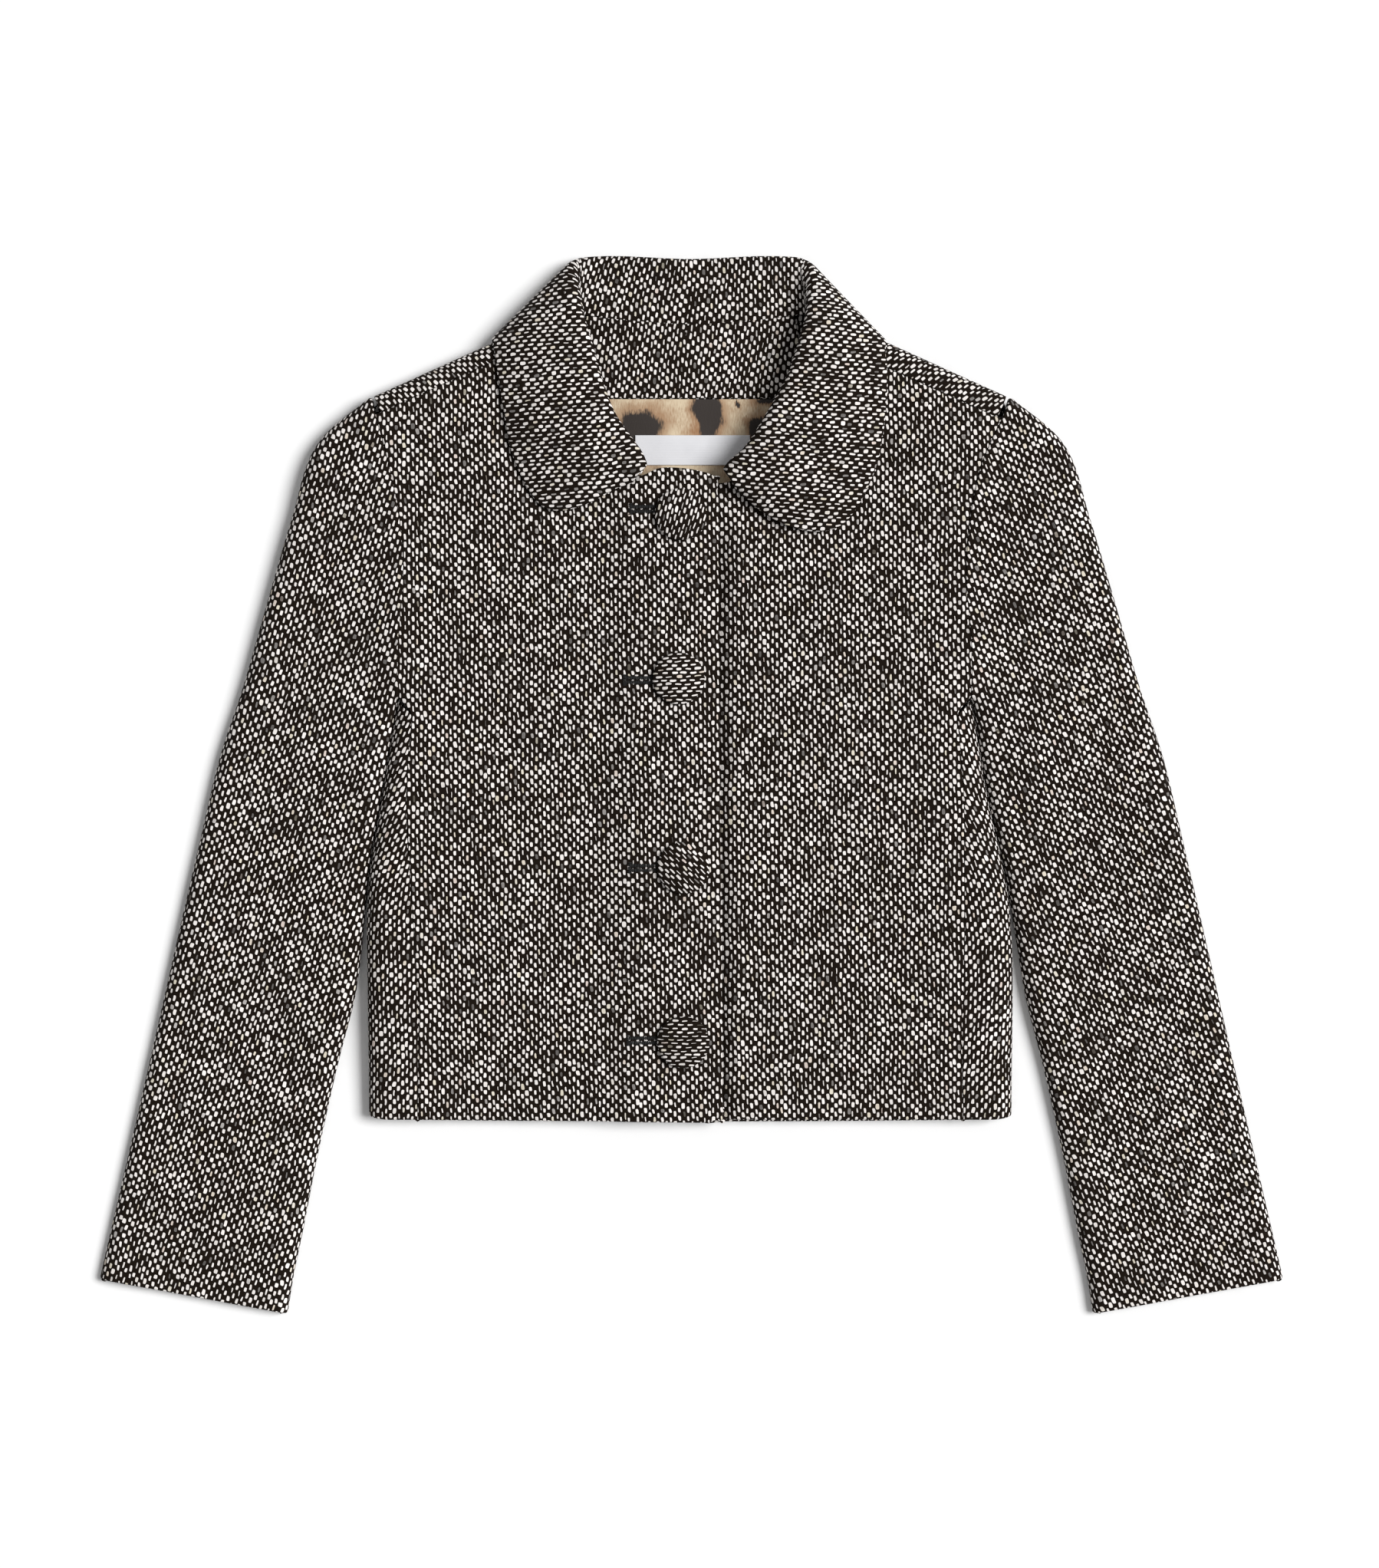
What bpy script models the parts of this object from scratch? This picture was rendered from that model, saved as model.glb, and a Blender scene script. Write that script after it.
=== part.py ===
"""Girl's cropped tweed jacket, buttoned and laid flat on its back, as the cloth pieces that it is sewn from.

Sizes are in millimetres. +X is the wearer's left, +Y runs from the hem to the neck, and the cloth lies on
Z = 0.
"""

import bmesh
import bpy
import numpy as np

MM = 0.001

# Cloth
TWEED = 2.2
FRONT_TWEED = 2.5
COLLAR_TWEED = 2.5
FACING_TWEED = 2.0
LINING = 1.0
LABEL = 1.0
SEAM = 0.3
BEND_SEAM = 1.6
INSIDE_GAP = 0.5

# Body
HEM_Y = -176.0
HEM_SIDE_LIFT = 1.6
BODY_LOFT = 14.5
BODY_SAG = 1.0
SAG_HALF_WIDTH = 150.0
HEM_DROP = 2.6
HEM_DROP_SPAN = 55.0
FOLD_ROUND = 10.0
NECK_RISE = 2.9
NECK_RISE_Y = (160.0, 217.0)
NECK_RISE_X = (106.0, 150.0)

# The side fold below the armhole: how far up, how far out, and how far in from it the side seam lies
SIDE_COLUMNS = ("y", "half_width", "seam_in")
SIDE_ROWS = (
    (-176.0, 166.0, 24.0),
    (-143.0, 167.2, 25.0),
    (-111.0, 169.2, 26.0),
    (-53.0, 168.4, 23.0),
    (-4.0, 160.4, 13.0),
    (43.6, 153.0, 9.0),
)

# The armhole seam, from the armpit to the shoulder point
ARMHOLE_ROWS = ((153.0, 43.6), (152.5, 75.0), (149.5, 108.0), (151.0, 135.0), (156.8, 165.0), (166.4, 199.6))
ARMHOLE_INSET_FADE = ((-111.0, 9.0), (205.0, 160.0))
SHOULDER_POINT = np.array((166.4, 199.6))
NECK_POINT = np.array((63.2, 244.8))
SHOULDER_END_INSET = 1.8
ARMPIT_CLEAR = 6.0

# What differs between the two sides as they lie
SIDES = {
    "right": {"sign": -1, "armhole_inset": 0.0, "shoulder_seam_in": 10.0, "neck_end_inset": 4.0},
    "left": {"sign": 1, "armhole_inset": 6.0, "shoulder_seam_in": 13.0, "neck_end_inset": 9.0},
}

# Fronts: the right one laps over the left one
FRONT_EDGE = {
    "right": ((17.2, -176.0), (16.0, -31.0), (15.2, 49.0), (14.8, 121.0), (14.4, 159.6)),
    "left": ((-24.0, -174.5), (-24.0, 155.0)),
}
FRONT_NECK_END = {
    "right": ((-18.0, 164.6), (-10.0, 165.0), (2.0, 163.8), (10.0, 161.8)),
    "left": ((12.0, 157.0), (-10.0, 156.0)),
}
LAP_RAISE = FRONT_TWEED + SEAM
LAP_RAMP_X = (-48.0, -26.0)
NECK_SEAM_CLEAR = 1.8

# Sleeve sections, from the armhole to the cuff. clear is how far the inner edge lies from the body's side
# fold, and bow is how much of the armhole's curve the section keeps
SLEEVE_COLUMNS = ("outer_x", "outer_y", "inner_y", "clear", "loft", "bow")
SLEEVE_ROWS = (
    (166.4, 199.6, 43.6, 1.0, 15.5, 1.00),
    (192.0, 177.2, 37.2, 1.0, 17.0, 0.75),
    (206.0, 137.2, 19.2, 1.0, 17.0, 0.45),
    (220.0, 89.2, -6.8, 1.0, 16.5, 0.20),
    (231.6, 49.2, -32.8, 1.0, 16.0, 0.05),
    (242.4, 17.2, -62.8, 1.8, 15.5, 0.00),
    (254.0, -30.8, -106.8, 8.0, 15.0, 0.00),
    (266.0, -82.8, -146.8, 18.2, 14.5, 0.00),
    (278.0, -134.8, -190.8, 27.6, 14.0, 0.00),
    (291.2, -190.8, -234.8, 35.6, 13.5, 0.00),
    (300.0, -226.8, -256.8, 40.0, 13.0, 0.00),
    (308.0, -258.0, -276.1, 42.8, 12.5, 0.00),
)
SLEEVE_ROUND = 11.0

# Collar sections, from its right front end round the back of the neck to its left front end. Each has its
# neck seam, the crest of its roll and its free edge, the roll's radius, and the turn of the roll: 0 where the
# leaf lies over the front, 180 where it lies under the back
COLLAR_COLUMNS = (
    "neck_x", "neck_y", "neck_z",
    "roll_x", "roll_y", "roll_z",
    "edge_x", "edge_y", "edge_z",
    "radius", "turn",
)
COLLAR_ROWS = (
    (-25.5, 161.0, 18.2, -23.0, 165.0, 20.4, -29.5, 157.5, 18.4, 1.9, 0),
    (-29.5, 166.5, 17.0, -25.0, 171.0, 20.4, -39.0, 154.5, 18.0, 2.6, 0),
    (-35.0, 172.5, 15.5, -29.5, 177.5, 20.4, -50.0, 147.5, 17.0, 3.2, 0),
    (-46.5, 188.0, 13.4, -40.0, 193.0, 20.5, -75.0, 143.0, 16.0, 4.0, 0),
    (-53.5, 206.5, 13.2, -46.5, 211.0, 20.5, -91.0, 167.0, 16.0, 4.0, 0),
    (-59.0, 226.5, 13.0, -52.0, 230.0, 20.5, -97.5, 198.0, 16.0, 4.0, 0),
    (-61.0, 235.0, 12.4, -55.0, 240.5, 19.5, -100.0, 211.5, 16.0, 4.0, 8),
    (-62.0, 241.0, 11.2, -57.5, 253.0, 17.0, -101.5, 223.0, 15.2, 3.8, 35),
    (-61.5, 244.5, 8.8, -59.5, 269.0, 11.4, -103.0, 231.5, 8.5, 3.4, 90),
    (-59.5, 245.2, 7.2, -57.5, 272.8, 8.2, -101.0, 230.2, 3.2, 3.3, 125),
    (-57.5, 245.2, 6.5, -54.0, 274.2, 6.4, -91.5, 228.0, 1.5, 3.2, 150),
    (-52.0, 244.6, 5.9, -47.0, 274.9, 5.0, -78.0, 223.0, 1.4, 3.2, 170),
    (-40.0, 242.5, 5.4, -36.0, 275.0, 4.6, -52.0, 223.0, 1.4, 3.2, 180),
    (0.0, 239.5, 5.2, 0.0, 273.5, 4.6, 0.0, 224.5, 1.4, 3.2, 180),
    (40.0, 242.5, 5.4, 36.0, 275.0, 4.6, 52.0, 223.0, 1.4, 3.2, 180),
    (53.0, 244.6, 5.9, 48.0, 274.9, 5.0, 78.0, 223.0, 1.4, 3.2, 170),
    (58.5, 245.2, 6.5, 55.0, 274.2, 6.4, 91.5, 228.0, 1.5, 3.2, 150),
    (61.0, 245.2, 7.2, 59.0, 272.8, 8.2, 101.0, 230.2, 3.2, 3.3, 125),
    (63.0, 244.5, 8.8, 61.0, 269.0, 11.4, 103.0, 231.5, 8.5, 3.4, 90),
    (64.5, 241.0, 11.2, 61.5, 253.0, 17.0, 102.0, 223.5, 15.2, 3.8, 35),
    (64.5, 235.0, 12.4, 60.0, 241.0, 20.0, 102.5, 211.0, 16.0, 4.0, 8),
    (62.5, 227.0, 13.0, 57.0, 231.0, 21.0, 101.5, 193.0, 16.0, 4.2, 0),
    (57.0, 208.0, 13.0, 51.0, 212.5, 21.8, 95.0, 160.5, 16.4, 4.4, 0),
    (46.5, 188.0, 13.0, 40.0, 192.0, 22.2, 76.0, 133.0, 17.2, 4.4, 0),
    (33.0, 170.5, 13.4, 27.5, 173.0, 21.5, 47.0, 136.0, 18.2, 3.6, 0),
    (25.0, 164.5, 14.4, 20.8, 167.5, 20.0, 34.0, 145.0, 18.2, 2.8, 0),
    (20.5, 159.0, 15.4, 17.4, 163.0, 18.8, 23.5, 154.5, 17.8, 1.9, 0),
)
LEAF_BULGE = 2.5

# Inside of the back neck
FACING_BOTTOM_Y = 201.6
BACK_NECK = ((52.0, 242.4), (30.0, 239.9), (0.0, 237.9))
FACING_TOP = ((-54.0, 242.4), (-30.0, 239.7), (0.0, 237.9), (30.0, 239.7), (54.0, 242.4))
FACING_HALF_WIDTH = 64.0
LINING_SIDE = ((146.0, -158.0), (148.0, -70.0), (132.0, 0.0), (130.0, 60.0), (126.0, 120.0), (110.0, 201.2))
LABEL_SIZE = (60.0, 15.6)
LABEL_CENTRE = (1.2, 174.6)

# Covered buttons, top to bottom, each with the slit that it comes through
BUTTON_PLACES = ((-4.8, 140.4), (-6.0, 55.2), (-3.6, -43.2), (-3.6, -133.6))
BUTTON_RADIUS = 13.5
BUTTON_EDGE = 2.6
BUTTON_CROWN = 3.6
BUTTON_CLEAR = 1.2
SHANK_RADIUS = 1.2
SLIT_LENGTH = 29.0
SLIT_WIDTH = 3.2
SLIT_PAST_BUTTON = 3.5

# How finely the cloth is divided
CURVE_STEPS = 40
FOLD_LINE_POINTS = 60
SIDE_SEAM_POINTS = 9
ARMHOLE_POINTS = 11
FOLD_POINTS = 8
BACK_HALF_COLUMNS = 12
SHOULDER_COLUMNS = 6
FRONT_NECK_COLUMNS = 9
SLEEVE_RINGS = 17
SLEEVE_BEND_POINTS = 5
SLEEVE_FLAT_POINTS = 6
COLLAR_STATIONS = 39
STAND_SHARES = (0.0, 0.33, 0.67)
ROLL_POINTS = 6
LEAF_POINTS = 6
FACING_POINTS = (13, 6)
LINING_COLUMNS = 9
LABEL_POINTS = (7, 3)
DOME_POINTS = 5
BUTTON_STEPS = 18

TWEED_COLOUR = (0.16, 0.15, 0.14, 1.0)
LINING_COLOUR = (0.36, 0.23, 0.11, 1.0)
LABEL_COLOUR = (0.85, 0.83, 0.78, 1.0)


def table(columns, rows):
    """A table's columns by name."""
    return dict(zip(columns, np.array(rows, float).T))


def smooth(value, low, high):
    """0 up to low, 1 from high on, and a soft step between; low may be the larger."""
    step = np.clip((np.asarray(value, float) - low) / (high - low), 0.0, 1.0)
    return step * step * (3.0 - 2.0 * step)


def curve(points, fractions):
    """Points at these fractions of the length of a smooth curve through the given points."""
    points = np.array(points, float)
    along = np.insert(np.cumsum(np.linalg.norm(np.diff(points, axis=0), axis=1)), 0, 0.0)
    slope = np.gradient(points, along, axis=0)
    fine = np.linspace(0.0, along[-1], CURVE_STEPS * len(points))
    span = np.clip(np.searchsorted(along, fine, "right") - 1, 0, len(points) - 2)
    width = (along[span + 1] - along[span])[:, None]
    part = ((fine - along[span]) / width[:, 0])[:, None]
    dense = (
        (2 * part**3 - 3 * part**2 + 1) * points[span]
        + (part**3 - 2 * part**2 + part) * width * slope[span]
        + (3 * part**2 - 2 * part**3) * points[span + 1]
        + (part**3 - part**2) * width * slope[span + 1]
    )
    travelled = np.insert(np.cumsum(np.linalg.norm(np.diff(dense, axis=0), axis=1)), 0, 0.0)
    wanted = np.asarray(fractions) * travelled[-1]
    return np.stack([np.interp(wanted, travelled, column) for column in dense.T], axis=1)


def evenly(points, count):
    return curve(points, np.linspace(0.0, 1.0, count))


def spread(near, near_count, far_count):
    """Shares of an edge, closer together up to the near share."""
    return np.concatenate([np.linspace(0.0, near, near_count + 1)[:-1], np.linspace(near, 1.0, far_count)])


def distance(places, line):
    """Distance in plan from each place to a polyline."""
    start, step = line[:-1], np.diff(line, axis=0)
    offset = places[..., None, :] - start
    part = np.clip((offset * step).sum(-1) / (step * step).sum(-1), 0.0, 1.0)
    return np.linalg.norm(offset - part[..., None] * step, axis=-1).min(-1)


def roundness(away, radius):
    """0 on a folded edge and 1 from one radius in, along a quarter of an ellipse."""
    return np.sqrt(np.clip(1.0 - np.clip(1.0 - away / radius, 0.0, 1.0) ** 2, 0.0, 1.0))


def patch(left, right, bottom, top):
    """A grid of plan points between four edges that share their corners."""

    def share(edge):
        length = np.insert(np.cumsum(np.linalg.norm(np.diff(edge, axis=0), axis=1)), 0, 0.0)
        return length / length[-1]

    up = ((share(left) + share(right)) / 2)[:, None]
    across = share(bottom) * (1 - up) + share(top) * up
    up, across = up[..., None], across[..., None]
    sides = left[:, None] * (1 - across) + right[:, None] * across
    ends = bottom[None] * (1 - up) + top[None] * up
    corners = (
        (left[0] * (1 - across) + right[0] * across) * (1 - up)
        + (left[-1] * (1 - across) + right[-1] * across) * up
    )
    return sides + ends - corners


SIDE_CURVE = evenly(SIDE_ROWS, FOLD_LINE_POINTS)
ARMPIT_Y = SIDE_ROWS[-1][0]
SHOULDER_LENGTH = np.linalg.norm(NECK_POINT - SHOULDER_POINT)
SHOULDER_ALONG = (NECK_POINT - SHOULDER_POINT) / SHOULDER_LENGTH
SHOULDER_OUT = np.array((SHOULDER_ALONG[1], -SHOULDER_ALONG[0]))


def inset(side, y):
    """How far the armhole and the crease below it lie inwards of the table on this side."""
    (low, low_end), (high, high_end) = ARMHOLE_INSET_FADE
    return SIDES[side]["armhole_inset"] * smooth(y, low, low_end) * smooth(y, high, high_end)


def side_fold(side, y):
    return np.interp(y, SIDE_CURVE[:, 0], SIDE_CURVE[:, 1]) - inset(side, y)


def side_seam_in(y):
    return np.interp(y, SIDE_CURVE[:, 0], SIDE_CURVE[:, 2])


def armhole(side, count, clear=0.0):
    """The armhole seam in plan, on the positive half, moved inwards by clear."""
    line = evenly(ARMHOLE_ROWS, count)
    line[:, 0] -= inset(side, line[:, 1]) + clear
    return line


def fold_line(side):
    """The folded edge of the body below the armhole, on the positive half."""
    y = np.linspace(HEM_Y - FOLD_ROUND, ARMPIT_Y, FOLD_LINE_POINTS)
    return np.stack([side_fold(side, y), y], axis=1)


FOLD_LINES = {side: fold_line(side) for side in SIDES}
SHOULDER_LINE = np.stack([SHOULDER_POINT, NECK_POINT])


def edge_roundness(plan):
    """How far the body has risen from its folded sides and shoulders at each plan point."""
    half = np.abs(plan) * (1, 0) + plan * (0, 1)
    sides = np.where(
        plan[..., 0] < 0, distance(half, FOLD_LINES["right"]), distance(half, FOLD_LINES["left"])
    )
    shoulders = distance(half, SHOULDER_LINE)
    return roundness(sides, FOLD_ROUND) * roundness(shoulders, FOLD_ROUND)


def body_heights(plan):
    """Heights of the outer cloth under and over the body at each plan point."""
    x, y = plan[..., 0], plan[..., 1]
    top = BODY_LOFT - BODY_SAG * np.clip(1 - (x / SAG_HALF_WIDTH) ** 2, 0, 1)
    top = top - HEM_DROP * (1 - smooth(y, HEM_Y, HEM_Y + HEM_DROP_SPAN))
    under = NECK_RISE * smooth(y, *NECK_RISE_Y) * smooth(np.abs(x), *NECK_RISE_X[::-1])
    middle, rise = (top + under) / 2, (top - under) / 2 * edge_roundness(plan)
    return middle - rise, middle + rise


def add_object(name, mesh, colour, roughness):
    """An object under the jacket's empty, with its own material."""
    obj = bpy.data.objects.new(name, mesh)
    bpy.context.scene.collection.objects.link(obj)
    obj.parent = bpy.data.objects["jacket"]
    material = bpy.data.materials.new(name)
    material.use_nodes = True
    shader = material.node_tree.nodes["Principled BSDF"]
    shader.inputs["Base Color"].default_value = colour
    shader.inputs["Roughness"].default_value = roughness
    shader.inputs["Metallic"].default_value = 0.0
    mesh.materials.append(material)
    return obj


def sew(name, grid, thickness, colour=TWEED_COLOUR, flip=False, tube=False, middle=False):
    """A cloth wall through a grid of points. The grid is the wall's outer face, or its middle."""
    rows, columns = grid.shape[:2]
    shape = bmesh.new()
    points = [[shape.verts.new(place * MM) for place in row] for row in grid]
    for i in range(rows - 1):
        for j in range(columns if tube else columns - 1):
            k = (j + 1) % columns
            corners = (points[i][j], points[i][k], points[i + 1][k], points[i + 1][j])
            shape.faces.new(corners[::-1] if flip else corners)
    mesh = bpy.data.meshes.new(name)
    shape.to_mesh(mesh)
    shape.free()
    mesh.shade_smooth()
    obj = add_object(name, mesh, colour, 0.9)
    wall = obj.modifiers.new("wall", "SOLIDIFY")
    wall.thickness = thickness * MM
    wall.offset = 0.0 if middle else -1.0
    wall.use_quality_normals = True
    return obj


def lie_on_shoulder(along, out):
    """A plan point on the positive half, from how far it lies along the shoulder and out from its fold."""
    return SHOULDER_POINT + np.multiply.outer(along, SHOULDER_ALONG) + np.multiply.outer(out, SHOULDER_OUT)


def mirror_to(side, plan):
    return plan * (SIDES[side]["sign"], 1)


def fold_length():
    """Length of cloth round a fold."""
    return np.pi * np.sqrt((FOLD_ROUND**2 + (BODY_LOFT / 2) ** 2) / 2)


def run_to(seam_in):
    """Length of cloth from where a fold begins to a seam that lies this far in from it, on top."""
    on_bend = fold_length() * (0.5 + np.arccos(np.clip(1 - seam_in / FOLD_ROUND, -1, 1)) / np.pi)
    return np.where(seam_in < FOLD_ROUND, on_bend, fold_length() + seam_in - FOLD_ROUND)


def rolled(run):
    """How far out cloth lies once it has run this length into a fold, over the top and back."""
    angle = np.pi * np.clip(run / fold_length(), 0, 1) - np.pi / 2
    return FOLD_ROUND * np.cos(angle) - np.clip(run - fold_length(), 0, None)


def fold_cloth(flat):
    """Folds the flat back panel round the body's sides and over its shoulders."""
    sign = np.where(flat[..., 0] < 0, -1, 1)
    x, y = np.abs(flat[..., 0]), flat[..., 1]
    start = np.where(sign < 0, side_fold("right", y), side_fold("left", y)) - FOLD_ROUND
    run = np.where(y < ARMPIT_Y, x - start, 0.0)
    over = run > fold_length() / 2
    half = np.stack([np.where(run > 0, start + rolled(run), x), y], axis=-1)
    run = np.where(y > ARMPIT_Y, (half - SHOULDER_POINT) @ SHOULDER_OUT + FOLD_ROUND, 0.0)
    over |= run > fold_length() / 2
    half = half + np.where(run > 0, rolled(run) - run, 0.0)[..., None] * SHOULDER_OUT
    plan = half * np.stack([sign, np.ones_like(sign)], axis=-1)
    under, top = body_heights(plan)
    return np.concatenate([plan, np.where(over, top, under)[..., None]], axis=-1)


def side_seam_heights():
    return np.linspace(HEM_Y + HEM_SIDE_LIFT, ARMPIT_Y - ARMPIT_CLEAR, SIDE_SEAM_POINTS)


def back_side(side):
    """A side edge of the flat back panel: up the side seam, round the armhole and over the shoulder."""
    y = side_seam_heights()
    side_seam = np.stack([side_fold(side, y) - FOLD_ROUND + run_to(side_seam_in(y)), y], axis=1)
    hole = armhole(side, ARMHOLE_POINTS, SEAM)
    corner = np.array([(hole[0, 0] - FOLD_ROUND + fold_length() / 2, ARMPIT_Y - SEAM)])
    run = np.linspace(0.0, run_to(SIDES[side]["shoulder_seam_in"]), FOLD_POINTS)
    shoulder = lie_on_shoulder(np.full(FOLD_POINTS, SHOULDER_END_INSET), run - FOLD_ROUND)
    return mirror_to(side, np.concatenate([side_seam, corner, hole[1:-1], shoulder]))


def back_top(side):
    """Half of the flat back's top edge: along the shoulder seam, then down to the middle of the neck."""
    out = run_to(SIDES[side]["shoulder_seam_in"]) - FOLD_ROUND
    ends = np.array((SHOULDER_END_INSET, SHOULDER_LENGTH - SIDES[side]["neck_end_inset"]))
    seam = lie_on_shoulder(ends, np.full(2, out))
    turn = lie_on_shoulder(np.full(2, ends[1]), np.array((out / 2, -FOLD_ROUND / 2)))
    neck = np.concatenate([seam[1:], turn, BACK_NECK])
    shoulder = curve(seam, spread(0.4, SHOULDER_COLUMNS - 2, SHOULDER_COLUMNS - 2))[:-1]
    return mirror_to(side, np.concatenate([shoulder, evenly(neck, BACK_HALF_COLUMNS - SHOULDER_COLUMNS)]))


def make_back():
    left, right = back_side("right"), back_side("left")
    top = np.concatenate([back_top("right"), back_top("left")[-2::-1]])
    close = spread(0.24, FOLD_POINTS, len(top) // 2 + 1 - FOLD_POINTS)
    shares = np.concatenate([close / 2, 1 - close[-2::-1] / 2])
    hem = left[0] * (1 - shares[:, None]) + right[0] * shares[:, None]
    hem[:, 1] -= HEM_SIDE_LIFT * (1 - (2 * shares - 1) ** 2)
    sew("back", fold_cloth(patch(left, right, hem, top)), TWEED, flip=True)


def collar_table(side):
    """The collar sections that lie over this side's front, from the shoulder to the front end."""
    sections = table(COLLAR_COLUMNS, COLLAR_ROWS)
    chosen = (sections["turn"] < 90) & (np.sign(sections["neck_x"]) == SIDES[side]["sign"])
    rows = {name: column[chosen] for name, column in sections.items()}
    return rows if side == "left" else {name: column[::-1] for name, column in rows.items()}


def front_neck(side):
    """A front's neck edge in plan, from the shoulder seam to the front edge."""
    sections = collar_table(side)
    neck = np.stack([sections["neck_x"], sections["neck_y"]], axis=1)
    roll = np.stack([sections["roll_x"], sections["roll_y"]], axis=1)
    away = neck - roll
    edge = neck + NECK_SEAM_CLEAR * away / np.linalg.norm(away, axis=1)[:, None]
    shoulder_in = -(SIDES[side]["shoulder_seam_in"] + BEND_SEAM)
    corner = mirror_to(side, lie_on_shoulder(SHOULDER_LENGTH - SIDES[side]["neck_end_inset"], shoulder_in))
    below = edge[edge[:, 1] < corner[1] - 4.0]
    return np.concatenate([corner[None], below, FRONT_NECK_END[side], FRONT_EDGE[side][-1:]])


def front_plan(side):
    """A front's grid in plan, from its outer edge to its front edge."""
    y = side_seam_heights()
    side_seam = np.stack([side_fold(side, y) - side_seam_in(y) - BEND_SEAM, y], axis=1)
    hole = armhole(side, CURVE_STEPS, SEAM)
    seam_out = -(SIDES[side]["shoulder_seam_in"] + BEND_SEAM)
    out = (hole - SHOULDER_POINT) @ SHOULDER_OUT
    end = np.array([np.interp(seam_out, out, column) for column in hole.T])
    hole = evenly(np.concatenate([hole[out < seam_out - 1.0][1:], end[None]]), ARMHOLE_POINTS - 2)
    outer = mirror_to(side, np.concatenate([side_seam, hole]))
    neck = front_neck(side)
    shoulder = np.linspace(outer[-1], neck[0], SHOULDER_COLUMNS)
    top = np.concatenate([shoulder[:-1], evenly(neck, FRONT_NECK_COLUMNS)])
    front_edge = evenly(FRONT_EDGE[side], len(outer))
    shares = np.linspace(0.0, 1.0, len(top))[:, None]
    hem = outer[0] * (1 - shares) + front_edge[0] * shares
    return patch(outer, front_edge, hem, top)


def front_top(side, plan):
    """Height of a front's outer face. The right front rises over the left one along the lap."""
    top = body_heights(plan)[1]
    return top + LAP_RAISE * smooth(plan[..., 0], *LAP_RAMP_X) if side == "right" else top


def make_front(side):
    plan = front_plan(side)
    grid = np.concatenate([plan, front_top(side, plan)[..., None]], axis=-1)
    return sew(side + "_front", grid, FRONT_TWEED, flip=side == "left")


def sleeve_edges(side, count):
    """Sleeve sections with the plan points at their outer and inner ends."""
    rows = table(SLEEVE_COLUMNS, evenly(SLEEVE_ROWS, count))
    outer = np.stack([rows["outer_x"], rows["outer_y"]], axis=1)
    inner = np.stack([side_fold(side, rows["inner_y"]) + rows["clear"], rows["inner_y"]], axis=1)
    return rows, outer, inner


def make_sleeve(side):
    rows, outer, inner = sleeve_edges(side, SLEEVE_RINGS)
    _, outer_fold, inner_fold = sleeve_edges(side, FOLD_LINE_POINTS)
    bend = 1 - np.cos(np.linspace(0.0, np.pi / 2, SLEEVE_BEND_POINTS))
    rings = []
    for start, end, loft, bow in zip(outer, inner, rows["loft"], rows["bow"]):
        near = bend * SLEEVE_ROUND / np.linalg.norm(end - start)
        flat = np.linspace(near[-1], 1 - near[-1], SLEEVE_FLAT_POINTS)[1:-1]
        shares = np.concatenate([near, flat, 1 - near[::-1]])
        seam = curve(armhole(side, CURVE_STEPS)[::-1], shares)
        chord = seam[0] * (1 - shares[:, None]) + seam[-1] * shares[:, None]
        plan = start * (1 - shares[:, None]) + end * shares[:, None] + bow * (seam - chord)
        rise = roundness(distance(plan, outer_fold), SLEEVE_ROUND)
        rise *= roundness(distance(plan, inner_fold), SLEEVE_ROUND)
        rise[[0, -1]] = 0.0
        top = np.concatenate([plan, loft / 2 * (1 + rise[:, None])], axis=1)
        under = np.concatenate([plan, loft / 2 * (1 - rise[:, None])], axis=1)
        rings.append(np.concatenate([top, under[-2:0:-1]]))
    grid = np.array(rings) * (SIDES[side]["sign"], 1, 1)
    sew(side + "_sleeve", grid, TWEED, flip=side == "right", tube=True)


def collar_grid(stations):
    """The collar's middle surface: up the stand, round the roll and out along the leaf."""
    rows = table(COLLAR_COLUMNS, evenly(COLLAR_ROWS, stations))
    neck, roll, edge = (
        np.stack([rows[place + "_x"], rows[place + "_y"], rows[place + "_z"]], axis=1)
        for place in ("neck", "roll", "edge")
    )
    crest = (roll - (neck + edge) / 2) * (1, 1, 0)
    crest /= np.linalg.norm(crest, axis=1)[:, None]
    outwards = np.stack([-crest[:, 1], crest[:, 0], 0 * crest[:, 0]], axis=1) * -np.sign(roll[:, :1] + 1e-9)
    turn = np.radians(rows["turn"])[:, None]
    over = np.cos(turn) * np.array((0.0, 0.0, 1.0)) + np.sin(turn) * outwards
    radius = rows["radius"][:, None]
    centre = roll - crest * radius
    columns = [neck + (centre - over * radius - neck) * share for share in STAND_SHARES]
    for angle in np.radians(np.linspace(-90.0, 90.0, ROLL_POINTS)):
        columns.append(centre + radius * (crest * np.cos(angle) + over * np.sin(angle)))
    bulge = LEAF_BULGE * (1 + np.cos(turn)) / 2 * np.array((0.0, 0.0, 1.0))
    leaf = columns[-1]
    for share in np.linspace(0.0, 1.0, LEAF_POINTS)[1:]:
        columns.append(leaf * (1 - share) + edge * share + bulge * 4 * share * (1 - share))
    return np.stack(columns, axis=1)


def make_collar():
    sew("collar", collar_grid(COLLAR_STATIONS), COLLAR_TWEED, middle=True)


def lay_inside(name, plan, below, thickness, colour=TWEED_COLOUR):
    """A piece that lies inside the back, on what is stacked below it."""
    height = body_heights(plan)[0] + below + INSIDE_GAP + thickness
    sew(name, np.concatenate([plan, height[..., None]], axis=-1), thickness, colour)


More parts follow.
